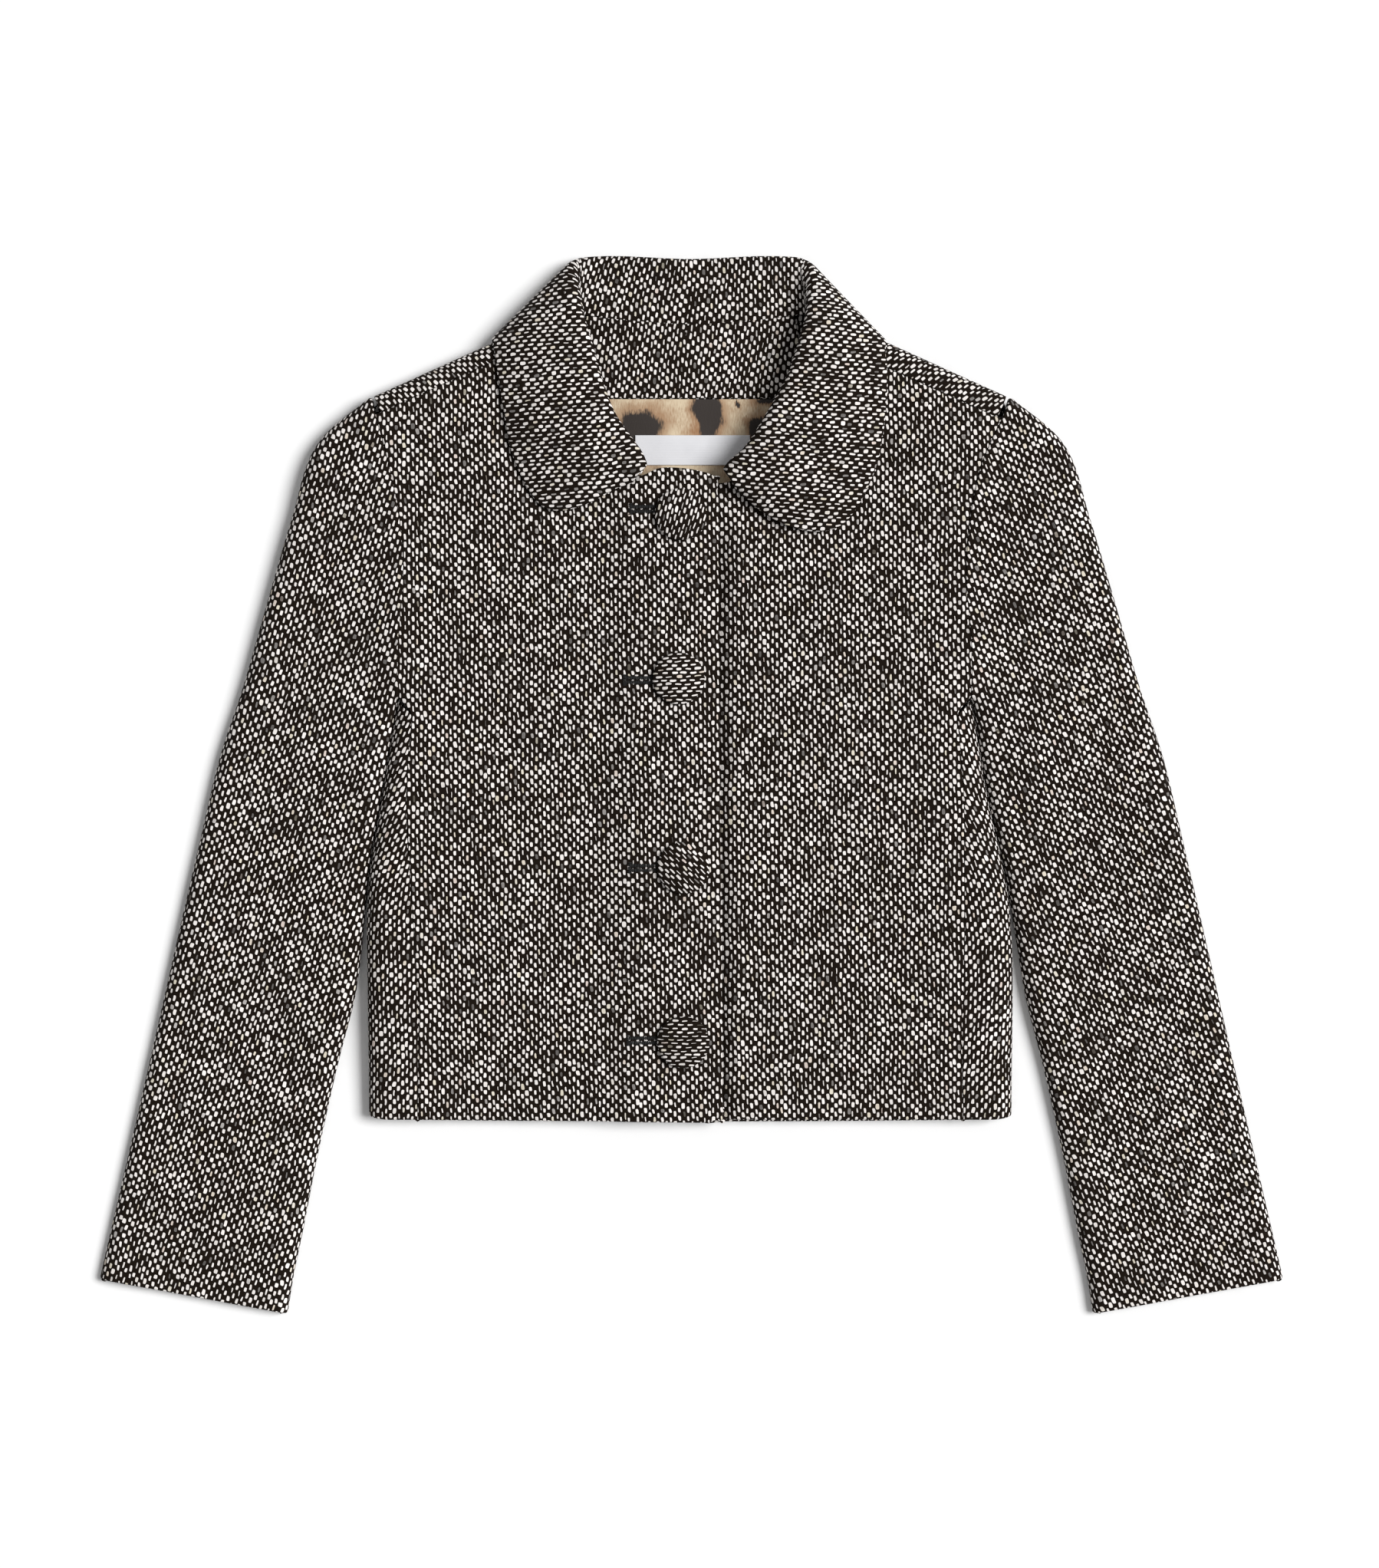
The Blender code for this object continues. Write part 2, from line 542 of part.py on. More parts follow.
def make_neck_inside():
    across, up = FACING_POINTS
    ends = (-FACING_HALF_WIDTH, FACING_BOTTOM_Y), (FACING_HALF_WIDTH, FACING_BOTTOM_Y)
    bottom, top = np.linspace(*ends, across), evenly(FACING_TOP, across)
    facing = patch(np.linspace(bottom[0], top[0], up), np.linspace(bottom[-1], top[-1], up), bottom, top)
    lay_inside("back_neck_facing", facing, TWEED, FACING_TWEED)
    right = curve(LINING_SIDE, 1 - spread(0.2, 7, 6)[::-1])
    left = right * (-1, 1)
    bottom, top = (np.linspace(left[end], right[end], LINING_COLUMNS) for end in (0, -1))
    lining = patch(left, right, bottom, top)
    lay_inside("back_lining", lining, TWEED, LINING, LINING_COLOUR)
    sides = [
        centre + size * np.linspace(-0.5, 0.5, count)
        for centre, size, count in zip(LABEL_CENTRE, LABEL_SIZE, LABEL_POINTS)
    ]
    label = np.stack(np.meshgrid(*sides), axis=-1)
    lay_inside("label", label, TWEED + INSIDE_GAP + LINING, LABEL, LABEL_COLOUR)


def make_slits(front):
    """The buttonholes, cut through the right front."""
    shape = bmesh.new()
    for x, y in BUTTON_PLACES:
        made = bmesh.ops.create_cube(shape, size=1.0)["verts"]
        bmesh.ops.scale(shape, verts=made, vec=np.array((SLIT_LENGTH, SLIT_WIDTH, 4 * BODY_LOFT)) * MM)
        middle = np.array((x + SLIT_PAST_BUTTON - SLIT_LENGTH / 2, y, BODY_LOFT)) * MM
        bmesh.ops.translate(shape, verts=made, vec=middle)
    mesh = bpy.data.meshes.new("slits")
    shape.to_mesh(mesh)
    shape.free()
    cutter = add_object("slits", mesh, TWEED_COLOUR, 0.9)
    cutter.hide_render = True
    cutter.display_type = "WIRE"
    cut = front.modifiers.new("buttonholes", "BOOLEAN")
    cut.object = cutter
    cut.operation = "DIFFERENCE"


def make_button(number, x, y):
    """A domed covered button whose shank goes through its slit to the left front."""
    lower_front = float(body_heights(np.array((x, y)))[1]) + SEAM
    back = LAP_RAISE + BUTTON_CLEAR - SEAM
    angles = np.radians(np.linspace(90.0, 0.0, DOME_POINTS))
    dome = [(BUTTON_RADIUS * np.cos(a), back + BUTTON_EDGE + BUTTON_CROWN * np.sin(a)) for a in angles]
    rim = [(BUTTON_RADIUS, back + BUTTON_EDGE * 0.4), (BUTTON_RADIUS * 0.93, back)]
    shank = [(SHANK_RADIUS, back), (SHANK_RADIUS, 0.0), (0.0, 0.0)]
    profile = [(0.0, back + BUTTON_EDGE + BUTTON_CROWN)] + dome[1:] + rim + shank
    mesh = bpy.data.meshes.new(f"button_{number}")
    outline = [(radius * MM, 0.0, height * MM) for radius, height in profile]
    mesh.from_pydata(outline, [(i, i + 1) for i in range(len(outline) - 1)], [])
    button = add_object(f"button_{number}", mesh, TWEED_COLOUR, 0.85)
    button.location = (x * MM, y * MM, lower_front * MM)
    turned = button.modifiers.new("turned", "SCREW")
    turned.steps = BUTTON_STEPS
    turned.render_steps = BUTTON_STEPS
    turned.use_merge_vertices = True
    turned.merge_threshold = 0.00001
    turned.use_smooth_shade = True


def main():
    for old in list(bpy.data.objects):
        bpy.data.objects.remove(old)
    bpy.context.scene.collection.objects.link(bpy.data.objects.new("jacket", None))
    make_back()
    make_slits(make_front("right"))
    make_front("left")
    for side in SIDES:
        make_sleeve(side)
    make_collar()
    make_neck_inside()
    for number, (x, y) in enumerate(BUTTON_PLACES, 1):
        make_button(number, x, y)


main()
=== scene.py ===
from functools import partial

import bpy
import numpy as np
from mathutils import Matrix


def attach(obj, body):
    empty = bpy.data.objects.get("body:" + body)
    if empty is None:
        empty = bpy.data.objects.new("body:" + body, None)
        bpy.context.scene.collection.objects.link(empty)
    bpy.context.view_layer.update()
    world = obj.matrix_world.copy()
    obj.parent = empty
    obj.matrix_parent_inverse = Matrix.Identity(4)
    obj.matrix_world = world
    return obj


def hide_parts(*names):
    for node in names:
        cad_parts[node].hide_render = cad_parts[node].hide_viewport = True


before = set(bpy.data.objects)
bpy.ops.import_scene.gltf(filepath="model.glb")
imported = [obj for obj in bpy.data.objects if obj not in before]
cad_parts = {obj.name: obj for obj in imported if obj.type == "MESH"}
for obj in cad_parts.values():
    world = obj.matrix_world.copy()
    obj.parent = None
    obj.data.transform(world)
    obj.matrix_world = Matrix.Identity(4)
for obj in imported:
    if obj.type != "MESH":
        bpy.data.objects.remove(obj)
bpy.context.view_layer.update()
mm = 0.001  # the tables below are in millimetres

# photo's height in pixels and how much of the table one pixel covers
photo = {"height": 2044, "mmPerPixel": 0.4}

# how a cut edge ends: radius of its turn, how far round it goes, and what runs on after the turn
hemEdge = {"turn": 1.7, "degrees": 180, "tail": 12.0}
frontEdge = {"turn": 1.3, "degrees": 180, "tail": 9.0}
leafEdge = {"turn": 1.35, "degrees": 90, "tail": 1.3}
armholeEdge = {"turn": 1.3, "degrees": 90, "tail": 2.2}
seamEdge = {"turn": 0.7, "degrees": 90, "tail": 1.6}
cuffEdge = {"turn": 1.7, "degrees": 180, "tail": 16.0}
thinEdge = {"turn": 0.35, "degrees": 90, "tail": 0.3}


def softStep(value, low, high):
    step = np.clip((np.asarray(value, float) - low) / (high - low), 0, 1)
    return step * step * (3 - 2 * step)


def runLength(points):
    return np.insert(np.cumsum(np.linalg.norm(np.diff(points, axis=0), axis=1)), 0, 0)


def alongLine(points, shares):  # places at these shares of a line's length
    points = np.asarray(points, float)
    run = runLength(points)
    return np.stack([np.interp(np.asarray(shares) * run[-1], run, column) for column in points.T], axis=-1)


def alongCurve(points, shares):  # the same on a smooth curve through the points
    points = np.asarray(points, float)
    run = runLength(points)
    slope = np.gradient(points, run, axis=0)
    fine = np.linspace(0, run[-1], 40 * len(points))
    span = np.clip(np.searchsorted(run, fine, "right") - 1, 0, len(points) - 2)
    width = (run[span + 1] - run[span])[:, None]
    part = (fine - run[span])[:, None] / width
    dense = (
        (2 * part**3 - 3 * part**2 + 1) * points[span]
        + (part**3 - 2 * part**2 + part) * width * slope[span]
        + (3 * part**2 - 2 * part**3) * points[span + 1]
        + (part**3 - part**2) * width * slope[span + 1]
    )
    return alongLine(dense, shares)


def evenly(points, count):
    return alongCurve(points, np.linspace(0, 1, count))


def distanceTo(places, line):
    start, step = line[:-1], np.diff(line, axis=0)
    offset = places[..., None, :] - start
    part = np.clip((offset * step).sum(-1) / (step * step).sum(-1), 0, 1)
    return np.linalg.norm(offset - part[..., None] * step, axis=-1).min(-1)


def risen(away, radius):  # 0 on a folded edge, 1 from one radius in
    return np.sqrt(np.clip(1 - np.clip(1 - away / radius, 0, 1) ** 2, 0, 1))


def raised(plan, z):
    return np.concatenate([plan, z[..., None]], axis=-1)


def unit(field):
    return field / np.maximum(np.linalg.norm(field, axis=-1, keepdims=True), 1e-9)


def unevenness(plan, seed, height, wave):  # cloth never lies quite flat
    chance = np.random.default_rng(seed)
    total = np.zeros(plan.shape[:-1])
    for _ in range(7):
        angle, phase, stretch = chance.uniform((0, 0, 0.6), (6.28, 6.28, 1.7))
        total += np.sin(plan @ (np.cos(angle), np.sin(angle)) * 6.28 / (wave * stretch) + phase)
    return height * total / 7**0.5


def fillBetween(left, right, bottom, top, across, up):  # plan points between four edges
    left, right = alongLine(left, up), alongLine(right, up)
    bottom, top = alongLine(bottom, across), alongLine(top, across)
    a, b = across[None, :, None], up[:, None, None]
    sides = left[:, None] * (1 - a) + right[:, None] * a
    ends = bottom[None] * (1 - b) + top[None] * b
    corners = (left[0] * (1 - a) + right[0] * a) * (1 - b) + (left[-1] * (1 - a) + right[-1] * a) * b
    return sides + ends - corners


def edgeLines(edge):
    theta = np.radians(np.linspace(0, edge["degrees"], int(edge["degrees"] / 22.5) + 1))
    inset = edge["turn"] * (1 - np.sin(theta))
    drop = edge["turn"] * (1 - np.cos(theta))
    run = edge["turn"] * (theta - 1)
    inset = np.append(inset, inset[-1] - edge["tail"] * np.cos(theta[-1]))
    drop = np.append(drop, drop[-1] + edge["tail"] * np.sin(theta[-1]))
    return inset, drop, np.append(run, run[-1] + edge["tail"])


def cutLines(length, count, low, high):
    # where the grid's lines lie on a cloth of this length, how far each drops, and how far its weave runs on
    lowInset, lowDrop, lowRun = edgeLines(low)
    highInset, highDrop, highRun = edgeLines(high)
    middle = np.linspace(low["turn"], length - high["turn"], count)[1:-1]
    place = np.concatenate([lowInset[::-1], middle, length - highInset]) / length
    return {
        "place": np.round(place, 9),
        "drop": np.concatenate([lowDrop[::-1], 0 * middle, highDrop]),
        "past": np.concatenate([-(lowRun + lowInset)[::-1], 0 * middle, highRun + highInset]),
    }


def readPlaces(mesh):
    flat = np.empty(3 * len(mesh.vertices))
    mesh.vertices.foreach_get("co", flat)
    return flat.reshape(-1, 3)


def readCorners(mesh):
    corners = np.empty(len(mesh.loops), int)
    mesh.loops.foreach_get("vertex_index", corners)
    return corners


def writeGrain(mesh, grain):
    grainMap = mesh.uv_layers.active or mesh.uv_layers.new()
    grainMap.name = "grain"
    grainMap.data.foreach_set("uv", grain.ravel())
    mesh.update()


def layCloth(name, form, spec, sides, ends, flip=False, lift=0.0, weaveOf=None):
    # form gives the cloth's places and its weaves; weaveOf says which weave a face at a column and row takes
    if sides:
        across = cutLines(spec["flatWidth"], spec["columns"], *sides)
    else:  # a tube
        around = np.linspace(0, 1, spec["columns"] + 1)
        across = {"place": around, "drop": 0 * around, "past": 0 * around}
    up = cutLines(spec["flatLength"], spec["rows"], *ends)
    columns, columnOf = np.unique(across["place"], return_inverse=True)
    rows, rowOf = np.unique(up["place"], return_inverse=True)
    base, *weaves = form(columns, rows)
    pick = np.ix_(rowOf, columnOf)
    normal = unit(np.cross(np.gradient(base, axis=1), np.gradient(base, axis=0))) * (-1 if flip else 1)
    drop = np.maximum(across["drop"][None], up["drop"][:, None])[..., None]
    grid = base[pick] - (drop - lift) * normal[pick]
    weaves = [
        weave[pick]
        + across["past"][None, :, None] * unit(np.gradient(weave, axis=1))[pick]
        + up["past"][:, None, None] * unit(np.gradient(weave, axis=0))[pick]
        for weave in weaves
    ]
    count = grid.shape[1]
    bpy.ops.object.select_all(action="DESELECT")
    bpy.ops.mesh.primitive_grid_add(x_subdivisions=count - 1, y_subdivisions=len(grid) - 1, size=2)
    piece = bpy.context.object
    piece.name = piece.data.name = name
    mesh = piece.data
    share = (readPlaces(mesh)[:, :2] + 1) / 2
    column = np.rint(share[:, 0] * (count - 1)).astype(int)
    row = np.rint(share[:, 1] * (len(grid) - 1)).astype(int)
    column = count - 1 - column if flip else column
    mesh.vertices.foreach_set("co", (grid[row, column] * mm).ravel())
    corner = readCorners(mesh)
    grain = weaves[0][row, column][corner]
    if weaveOf:
        middles = [  # every face of the grid has four corners
            np.repeat(places[lines[corner]].reshape(-1, 4).mean(1), 4)
            for places, lines in ((across["place"], column), (up["place"], row))
        ]
        choice = weaveOf(*middles)
        for number, weave in enumerate(weaves):
            grain[choice == number] = weave[row, column][corner][choice == number]
    writeGrain(mesh, grain)
    if not sides:
        bpy.ops.object.mode_set(mode="EDIT")
        bpy.ops.mesh.select_all(action="SELECT")
        bpy.ops.mesh.remove_doubles(threshold=0.00001)
        bpy.ops.object.mode_set(mode="OBJECT")
    bpy.ops.object.shade_smooth()
    thick = piece.modifiers.new("thick", "SOLIDIFY")
    thick.thickness = spec["wall"] * mm
    thick.offset = -1
    thick.use_quality_normals = True
    bpy.ops.object.modifier_apply(modifier="thick")
    finer = piece.modifiers.new("finer", "SUBSURF")
    finer.levels = finer.render_levels = 1
    bpy.ops.object.modifier_apply(modifier="finer")
    print("laid", name, len(mesh.polygons), "faces")
    return piece


def showAs(piece, node, material):
    piece.data.materials.append(material)
    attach(piece, "root")
    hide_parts(node)


# materials

def fromHex(code):  # sRGB hex to linear
    value = np.array([int(code[i : i + 2], 16) for i in (1, 3, 5)]) / 255
    linear = np.where(value <= 0.04045, value / 12.92, ((value + 0.055) / 1.055) ** 2.4)
    return (*linear, 1.0)


def addNode(tree, kind, links=None, **settings):
    node = tree.nodes.new("ShaderNode" + kind)
    for key, value in settings.items():
        setattr(node, key, value)
    for key, value in (links or {}).items():
        if isinstance(value, bpy.types.Node):
            value = value.outputs[0]
        if isinstance(value, bpy.types.NodeSocket):
            tree.links.new(value, node.inputs[key])
        else:
            node.inputs[key].default_value = value
    return node


def fillRamp(node, stops):
    elements = node.color_ramp.elements
    while len(elements) < len(stops):
        elements.new(1.0)
    for element, (position, colour) in zip(elements, stops):
        element.position = position
        element.color = fromHex(colour) if isinstance(colour, str) else (colour, colour, colour, 1.0)


def startMaterial(name, roughness, ior):
    material = bpy.data.materials.new(name)
    material.use_nodes = True
    shader = material.node_tree.nodes["Principled BSDF"]
    shader.inputs["Roughness"].default_value = roughness
    shader.inputs["IOR"].default_value = ior
    return material, partial(addNode, material.node_tree), shader


def finishMaterial(material, colour, height, strength, depth):  # colour and relief go to the shader
    tree = material.node_tree
    shader = tree.nodes["Principled BSDF"]
    bump = addNode(tree, "Bump", {"Height": height, "Strength": strength, "Distance": depth * mm})
    tree.links.new(colour.outputs[2], shader.inputs["Base Color"])
    tree.links.new(bump.outputs[0], shader.inputs["Normal"])
    return material


# wool tweed: cream slub yarn floating in dashes over a black warp, two ends to a repeat.
# threads are 2.2 mm apart and a dash repeats every 4.7 mm, as counted on the body
bodyWeave = {"name": "wool_tweed", "thread": 2.2, "repeat": 4.7, "slant": -0.18, "wide": 0.157, "long": 0.232}
straightWeave = {**bodyWeave, "name": "wool_tweed_straight", "slant": -0.12}
buttonWeave = {
    "name": "wool_tweed_stretched", "thread": 1.9, "repeat": 5.0, "slant": -0.1, "wide": 0.105, "long": 0.25,
}
yarn = {
    "black": "#170f08",
    "tones": ((0.0, 0.1), (0.03, 0.3), (0.06, 0.86), (0.4, 0.98), (1.0, 1.0)),
    "tints": ((0.0, "#e2d3cb"), (0.03, "#e7dfcc"), (0.08, "#f0eae5"), (0.6, "#f8f2ee"), (1.0, "#fffaf6")),
    "wander": ((28.0, 1.0, 2.2), (3.4, 0.0, 0.75)),  # wave, detail, and how far it moves the threads
    "cloudSize": 16.0, "nepEvery": 25.0,
    # as shares of a thread or a repeat: how far starts, places and sizes of the dashes vary
    "start": 0.12, "shift": (0.24, 0.2), "size": (0.24, 0.1), "slub": 0.09, "thin": 0.05,
    "squareness": 3.4,
}


def makeTweed(weave):
    material, add, shader = startMaterial(weave["name"], 0.92, 1.54)
    grain = place = add("UVMap", uv_map="grain")
    # threads wander slowly over the cloth, and each yarn is uneven along its length
    for wave, detail, stray in yarn["wander"]:
        noise = add("TexNoise", {"Vector": grain, "Scale": 1 / wave, "Detail": detail})
        off = add("VectorMath", {0: noise.outputs["Color"], 1: (0.5, 0.5, 0.5)}, operation="SUBTRACT")
        place = add("VectorMath", {0: off, 1: (stray, stray, 0), 2: place}, operation="MULTIPLY_ADD")
    counted = add("VectorMath", {0: place, 1: (weave["thread"], weave["repeat"], 1)}, operation="DIVIDE")
    counted = add("SeparateXYZ", {0: counted})
    # every other thread starts half a repeat on
    thread = add("Math", {0: counted.outputs["X"]}, operation="FLOOR")
    odd = add("Math", {0: thread, 1: 2.0}, operation="FLOORED_MODULO")
    chance = add("TexWhiteNoise", {"W": thread}, noise_dimensions="1D")
    chance = add("Math", {0: chance.outputs["Value"], 1: yarn["start"]}, operation="MULTIPLY")
    start = add("Math", {0: odd, 1: 0.5, 2: chance}, operation="MULTIPLY_ADD")
    along = add("Math", {0: counted.outputs["Y"], 1: start}, operation="ADD")
    # every dash draws its own shift, size, tone and tint
    pick = add("Math", {0: along}, operation="FLOOR")
    dashes = [add("CombineXYZ", {0: thread, 1: pick, 2: draw}) for draw in (3.0, 8.0)]
    first, second = (add("TexWhiteNoise", {"Vector": dash}) for dash in dashes)
    shifts = add("SeparateColor", {0: first.outputs["Color"]})
    sizes = add("SeparateColor", {0: second.outputs["Color"]})
    # place within the dash, measured from its middle
    middles = []
    for number, (value, shift) in enumerate(zip((counted.outputs["X"], along), yarn["shift"])):
        part = add("Math", {0: value}, operation="FRACT")
        part = add("Math", {0: shifts.outputs[number], 1: shift, 2: part}, operation="MULTIPLY_ADD")
        middles.append(add("Math", {0: part, 1: 0.5 + shift / 2}, operation="SUBTRACT"))
    acrossDash, alongDash = middles
    acrossDash = add("Math", {0: alongDash, 1: -weave["slant"], 2: acrossDash}, operation="MULTIPLY_ADD")
    # the yarn is thick for a few dashes and then thin, and thinner and duller in cloudy patches
    slub = add("Math", {0: counted.outputs["Y"], 1: 0.4}, operation="MULTIPLY")
    slub = add("CombineXYZ", {0: thread, 1: slub})
    slub = add("TexNoise", {"Vector": slub, "Scale": 1.0, "Detail": 1.0})
    slub = add("MapRange", {0: slub.outputs[0], 1: 0.25, 2: 0.75, 3: -yarn["slub"], 4: yarn["slub"]})
    cloud = add("TexNoise", {"Vector": grain, "Scale": 1 / yarn["cloudSize"], "Detail": 3.0})
    thin = add("MapRange", {0: cloud.outputs[0], 1: 0.32, 2: 0.68, 3: -yarn["thin"], 4: yarn["thin"]})
    dull = add("MapRange", {0: cloud.outputs[0], 1: 0.32, 2: 0.68, 3: 0.86, 4: 1.08})
    slub = add("Math", {0: slub, 1: thin}, operation="ADD")
    varyWide, varyLong = yarn["size"]
    wide = add("Math", {0: sizes.outputs[0], 1: varyWide, 2: slub}, operation="MULTIPLY_ADD")
    wide = add("Math", {0: wide, 1: weave["wide"]}, operation="ADD")
    long = add("Math", {0: sizes.outputs[1], 1: varyLong, 2: weave["long"]}, operation="MULTIPLY_ADD")
    shares = []
    for middle, half in ((acrossDash, wide), (alongDash, long)):
        share = add("Math", {0: middle}, operation="ABSOLUTE")
        share = add("Math", {0: share, 1: half}, operation="DIVIDE")
        shares.append(add("Math", {0: share, 1: yarn["squareness"]}, operation="POWER"))
    reach = add("Math", {0: shares[0], 1: shares[1]}, operation="ADD")
    floating = add("MapRange", {0: reach, 1: 1.12, 2: 0.8}, interpolation_type="SMOOTHSTEP")
    tone = add("ValToRGB", {0: first.outputs["Value"]})
    fillRamp(tone, yarn["tones"])
    tint = add("ValToRGB", {0: sizes.outputs[2]})
    fillRamp(tint, yarn["tints"])
    # fibres drawn coarser than real ones so that they show
    stretched = add("VectorMath", {0: place, 1: (2.6, 0.7, 1)}, operation="MULTIPLY")
    fibre = add("TexNoise", {"Vector": stretched, "Scale": 1.0, "Detail": 2.0})
    shade = add("MapRange", {0: fibre.outputs[0], 1: 0.3, 2: 0.7, 3: 0.86, 4: 1.06})
    # black neps caught in the yarn
    nep = add("TexVoronoi", {"Vector": place, "Scale": 1 / yarn["nepEvery"]})
    nep = add("MapRange", {0: nep.outputs["Distance"], 1: 0.03, 2: 0.075})
    light = floating
    for factor in (tone, dull, shade, nep):
        light = add("Math", {0: light, 1: factor}, operation="MULTIPLY", use_clamp=factor is nep)
    black = fromHex(yarn["black"])
    colour = add("Mix", {0: light, 6: black, 7: tint.outputs[0]}, data_type="RGBA")
    height = add("Math", {0: fibre.outputs[0], 1: 0.35, 2: floating}, operation="MULTIPLY_ADD")
    shader.inputs["Specular IOR Level"].default_value = 0.12
    return finishMaterial(material, colour, height, 0.7, 0.6)


# printed viscose lining: pale tan ground with large soft brown spots, brushed like fur.
# opening and spots: x, y, half width, half height
lining = {
    "tan": "#d9c6a8", "gold": "#9d7450", "spot": "#2b221d", "fleck": "#664628",
    "spotSize": 36.0, "fleckSize": 15.0, "patchSize": 22.0, "wanderSize": 12.0,
    "fray": (3, 7, 0), "wander": (9, 9, 0),  # how far hairs and waves move the spots' edges
    "opening": (0.0, 190.0, 62.0, 30.0),
    "spots": (
        # the fourth spot on the next line is partly a brown print spot and partly painted shade: a thin dark
        # band along the facing's lower edge, where the facing's shadow falls
        (-25.5, 186.5, 11.0, 11.5), (9.6, 194.5, 7.8, 12.5), (37.5, 184.5, 7.5, 8.0), (42.0, 201.5, 9.0, 3.6),
        (26.4, 198.6, 1.5, 2.2),
    ),
}


def makeLining():
    material, add, _ = startMaterial("printed_viscose_lining", 0.55, 1.47)
    grain = ragged = add("UVMap", uv_map="grain")
    hair = add("VectorMath", {0: grain, 1: (1.5, 0.35, 1)}, operation="MULTIPLY")
    hair = add("TexNoise", {"Vector": hair, "Scale": 1.0, "Detail": 4.0})
    wander = add("TexNoise", {"Vector": grain, "Scale": 1 / lining["wanderSize"], "Detail": 1.0})
    for noise, far in ((hair, lining["fray"]), (wander, lining["wander"])):
        off = add("VectorMath", {0: noise.outputs["Color"], 1: (0.5, 0.5, 0.5)}, operation="SUBTRACT")
        ragged = add("VectorMath", {0: off, 1: far, 2: ragged}, operation="MULTIPLY_ADD")
    strewn = add("TexVoronoi", {"Vector": ragged, "Scale": 1 / lining["spotSize"], "Randomness": 0.85})
    nearest = add("Math", {0: strewn.outputs["Distance"], 1: 2.6}, operation="MULTIPLY")
    # the opening has its own spots, the rest of the lining has strewn ones; the weave runs the other way in x
    for spot in (lining["opening"], *lining["spots"]):
        x, y, halfWidth, halfHeight = spot
        away = add("VectorMath", {0: ragged, 1: (-x, y, 0)}, operation="SUBTRACT")
        away = add("VectorMath", {0: away, 1: (halfWidth, halfHeight, 1)}, operation="DIVIDE")
        away = add("VectorMath", {0: away}, operation="LENGTH").outputs["Value"]
        if spot is lining["opening"]:
            inside = add("Math", {0: away, 1: 1.0}, operation="LESS_THAN")
            nearest = add("Math", {0: inside, 1: 9.0, 2: nearest}, operation="MULTIPLY_ADD")
        else:
            nearest = add("Math", {0: nearest, 1: away}, operation="MINIMUM")
    fleck = add("TexVoronoi", {"Vector": ragged, "Scale": 1 / lining["fleckSize"]})
    patch = add("TexNoise", {"Vector": grain, "Scale": 1 / lining["patchSize"], "Detail": 2.0})
    mixed = add("Math", {0: hair.outputs[0], 1: 0.55, 2: patch.outputs[0]}, operation="MULTIPLY_ADD")
    mixed = add("MapRange", {0: mixed, 1: 0.52, 2: 0.86})
    gold, tan = fromHex(lining["gold"]), fromHex(lining["tan"])
    ground = add("Mix", {0: mixed, 6: gold, 7: tan}, data_type="RGBA")
    # flecks, then the spots' soft rims, then the spots: distance where each begins and is full, its strength
    for away, begins, full, strength, tint in (
        (fleck.outputs["Distance"], 0.24, 0.1, 0.4, "fleck"),
        (nearest, 1.6, 1.0, 0.75, "gold"),
        (nearest, 1.1, 0.88, 1.0, "spot"),
    ):
        amount = {0: away, 1: begins, 2: full, 4: strength}
        amount = add("MapRange", amount, interpolation_type="SMOOTHSTEP")
        layers = {0: amount, 6: ground.outputs[2], 7: fromHex(lining[tint])}
        ground = add("Mix", layers, data_type="RGBA")
    return finishMaterial(material, ground, hair.outputs[0], 0.25, 0.15)


# polyester satin label: bright, with a close rib along it; ribs are drawn 0.9 mm apart, real ones are finer
def makeSatin():
    material, add, _ = startMaterial("polyester_satin", 0.38, 1.54)
    grain = add("UVMap", uv_map="grain")
    rib = add("TexWave", {"Vector": grain, "Scale": 0.35, "Distortion": 0.6}, bands_direction="Y")
    cloud = add("TexNoise", {"Vector": grain, "Scale": 1 / 12, "Detail": 2.0})
    tones = {0: cloud.outputs[0], 6: fromHex("#d8d8dc"), 7: fromHex("#ececef")}
    colour = add("Mix", tones, data_type="RGBA")
    return finishMaterial(material, colour, rib.outputs["Fac"], 0.25, 0.08)


# waxed cotton thread: black, a little shine on its twist, which is drawn about 0.4 mm apart
def makeThread():
    material, add, _ = startMaterial("waxed_cotton_thread", 0.75, 1.53)
    local = add("TexCoord")
    twist = add("TexNoise", {"Vector": local.outputs["Object"], "Scale": 2400.0, "Detail": 1.0})
    tones = {0: twist.outputs[0], 6: fromHex("#030303"), 7: fromHex("#0c0b0a")}
    colour = add("Mix", tones, data_type="RGBA")
    return finishMaterial(material, colour, twist.outputs[0], 0.4, 0.1)


tweed = makeTweed(bodyWeave)
straightTweed = makeTweed(straightWeave)
buttonTweed = makeTweed(buttonWeave)
liningCloth = makeLining()
satin = makeSatin()
thread = makeThread()
print("materials made")

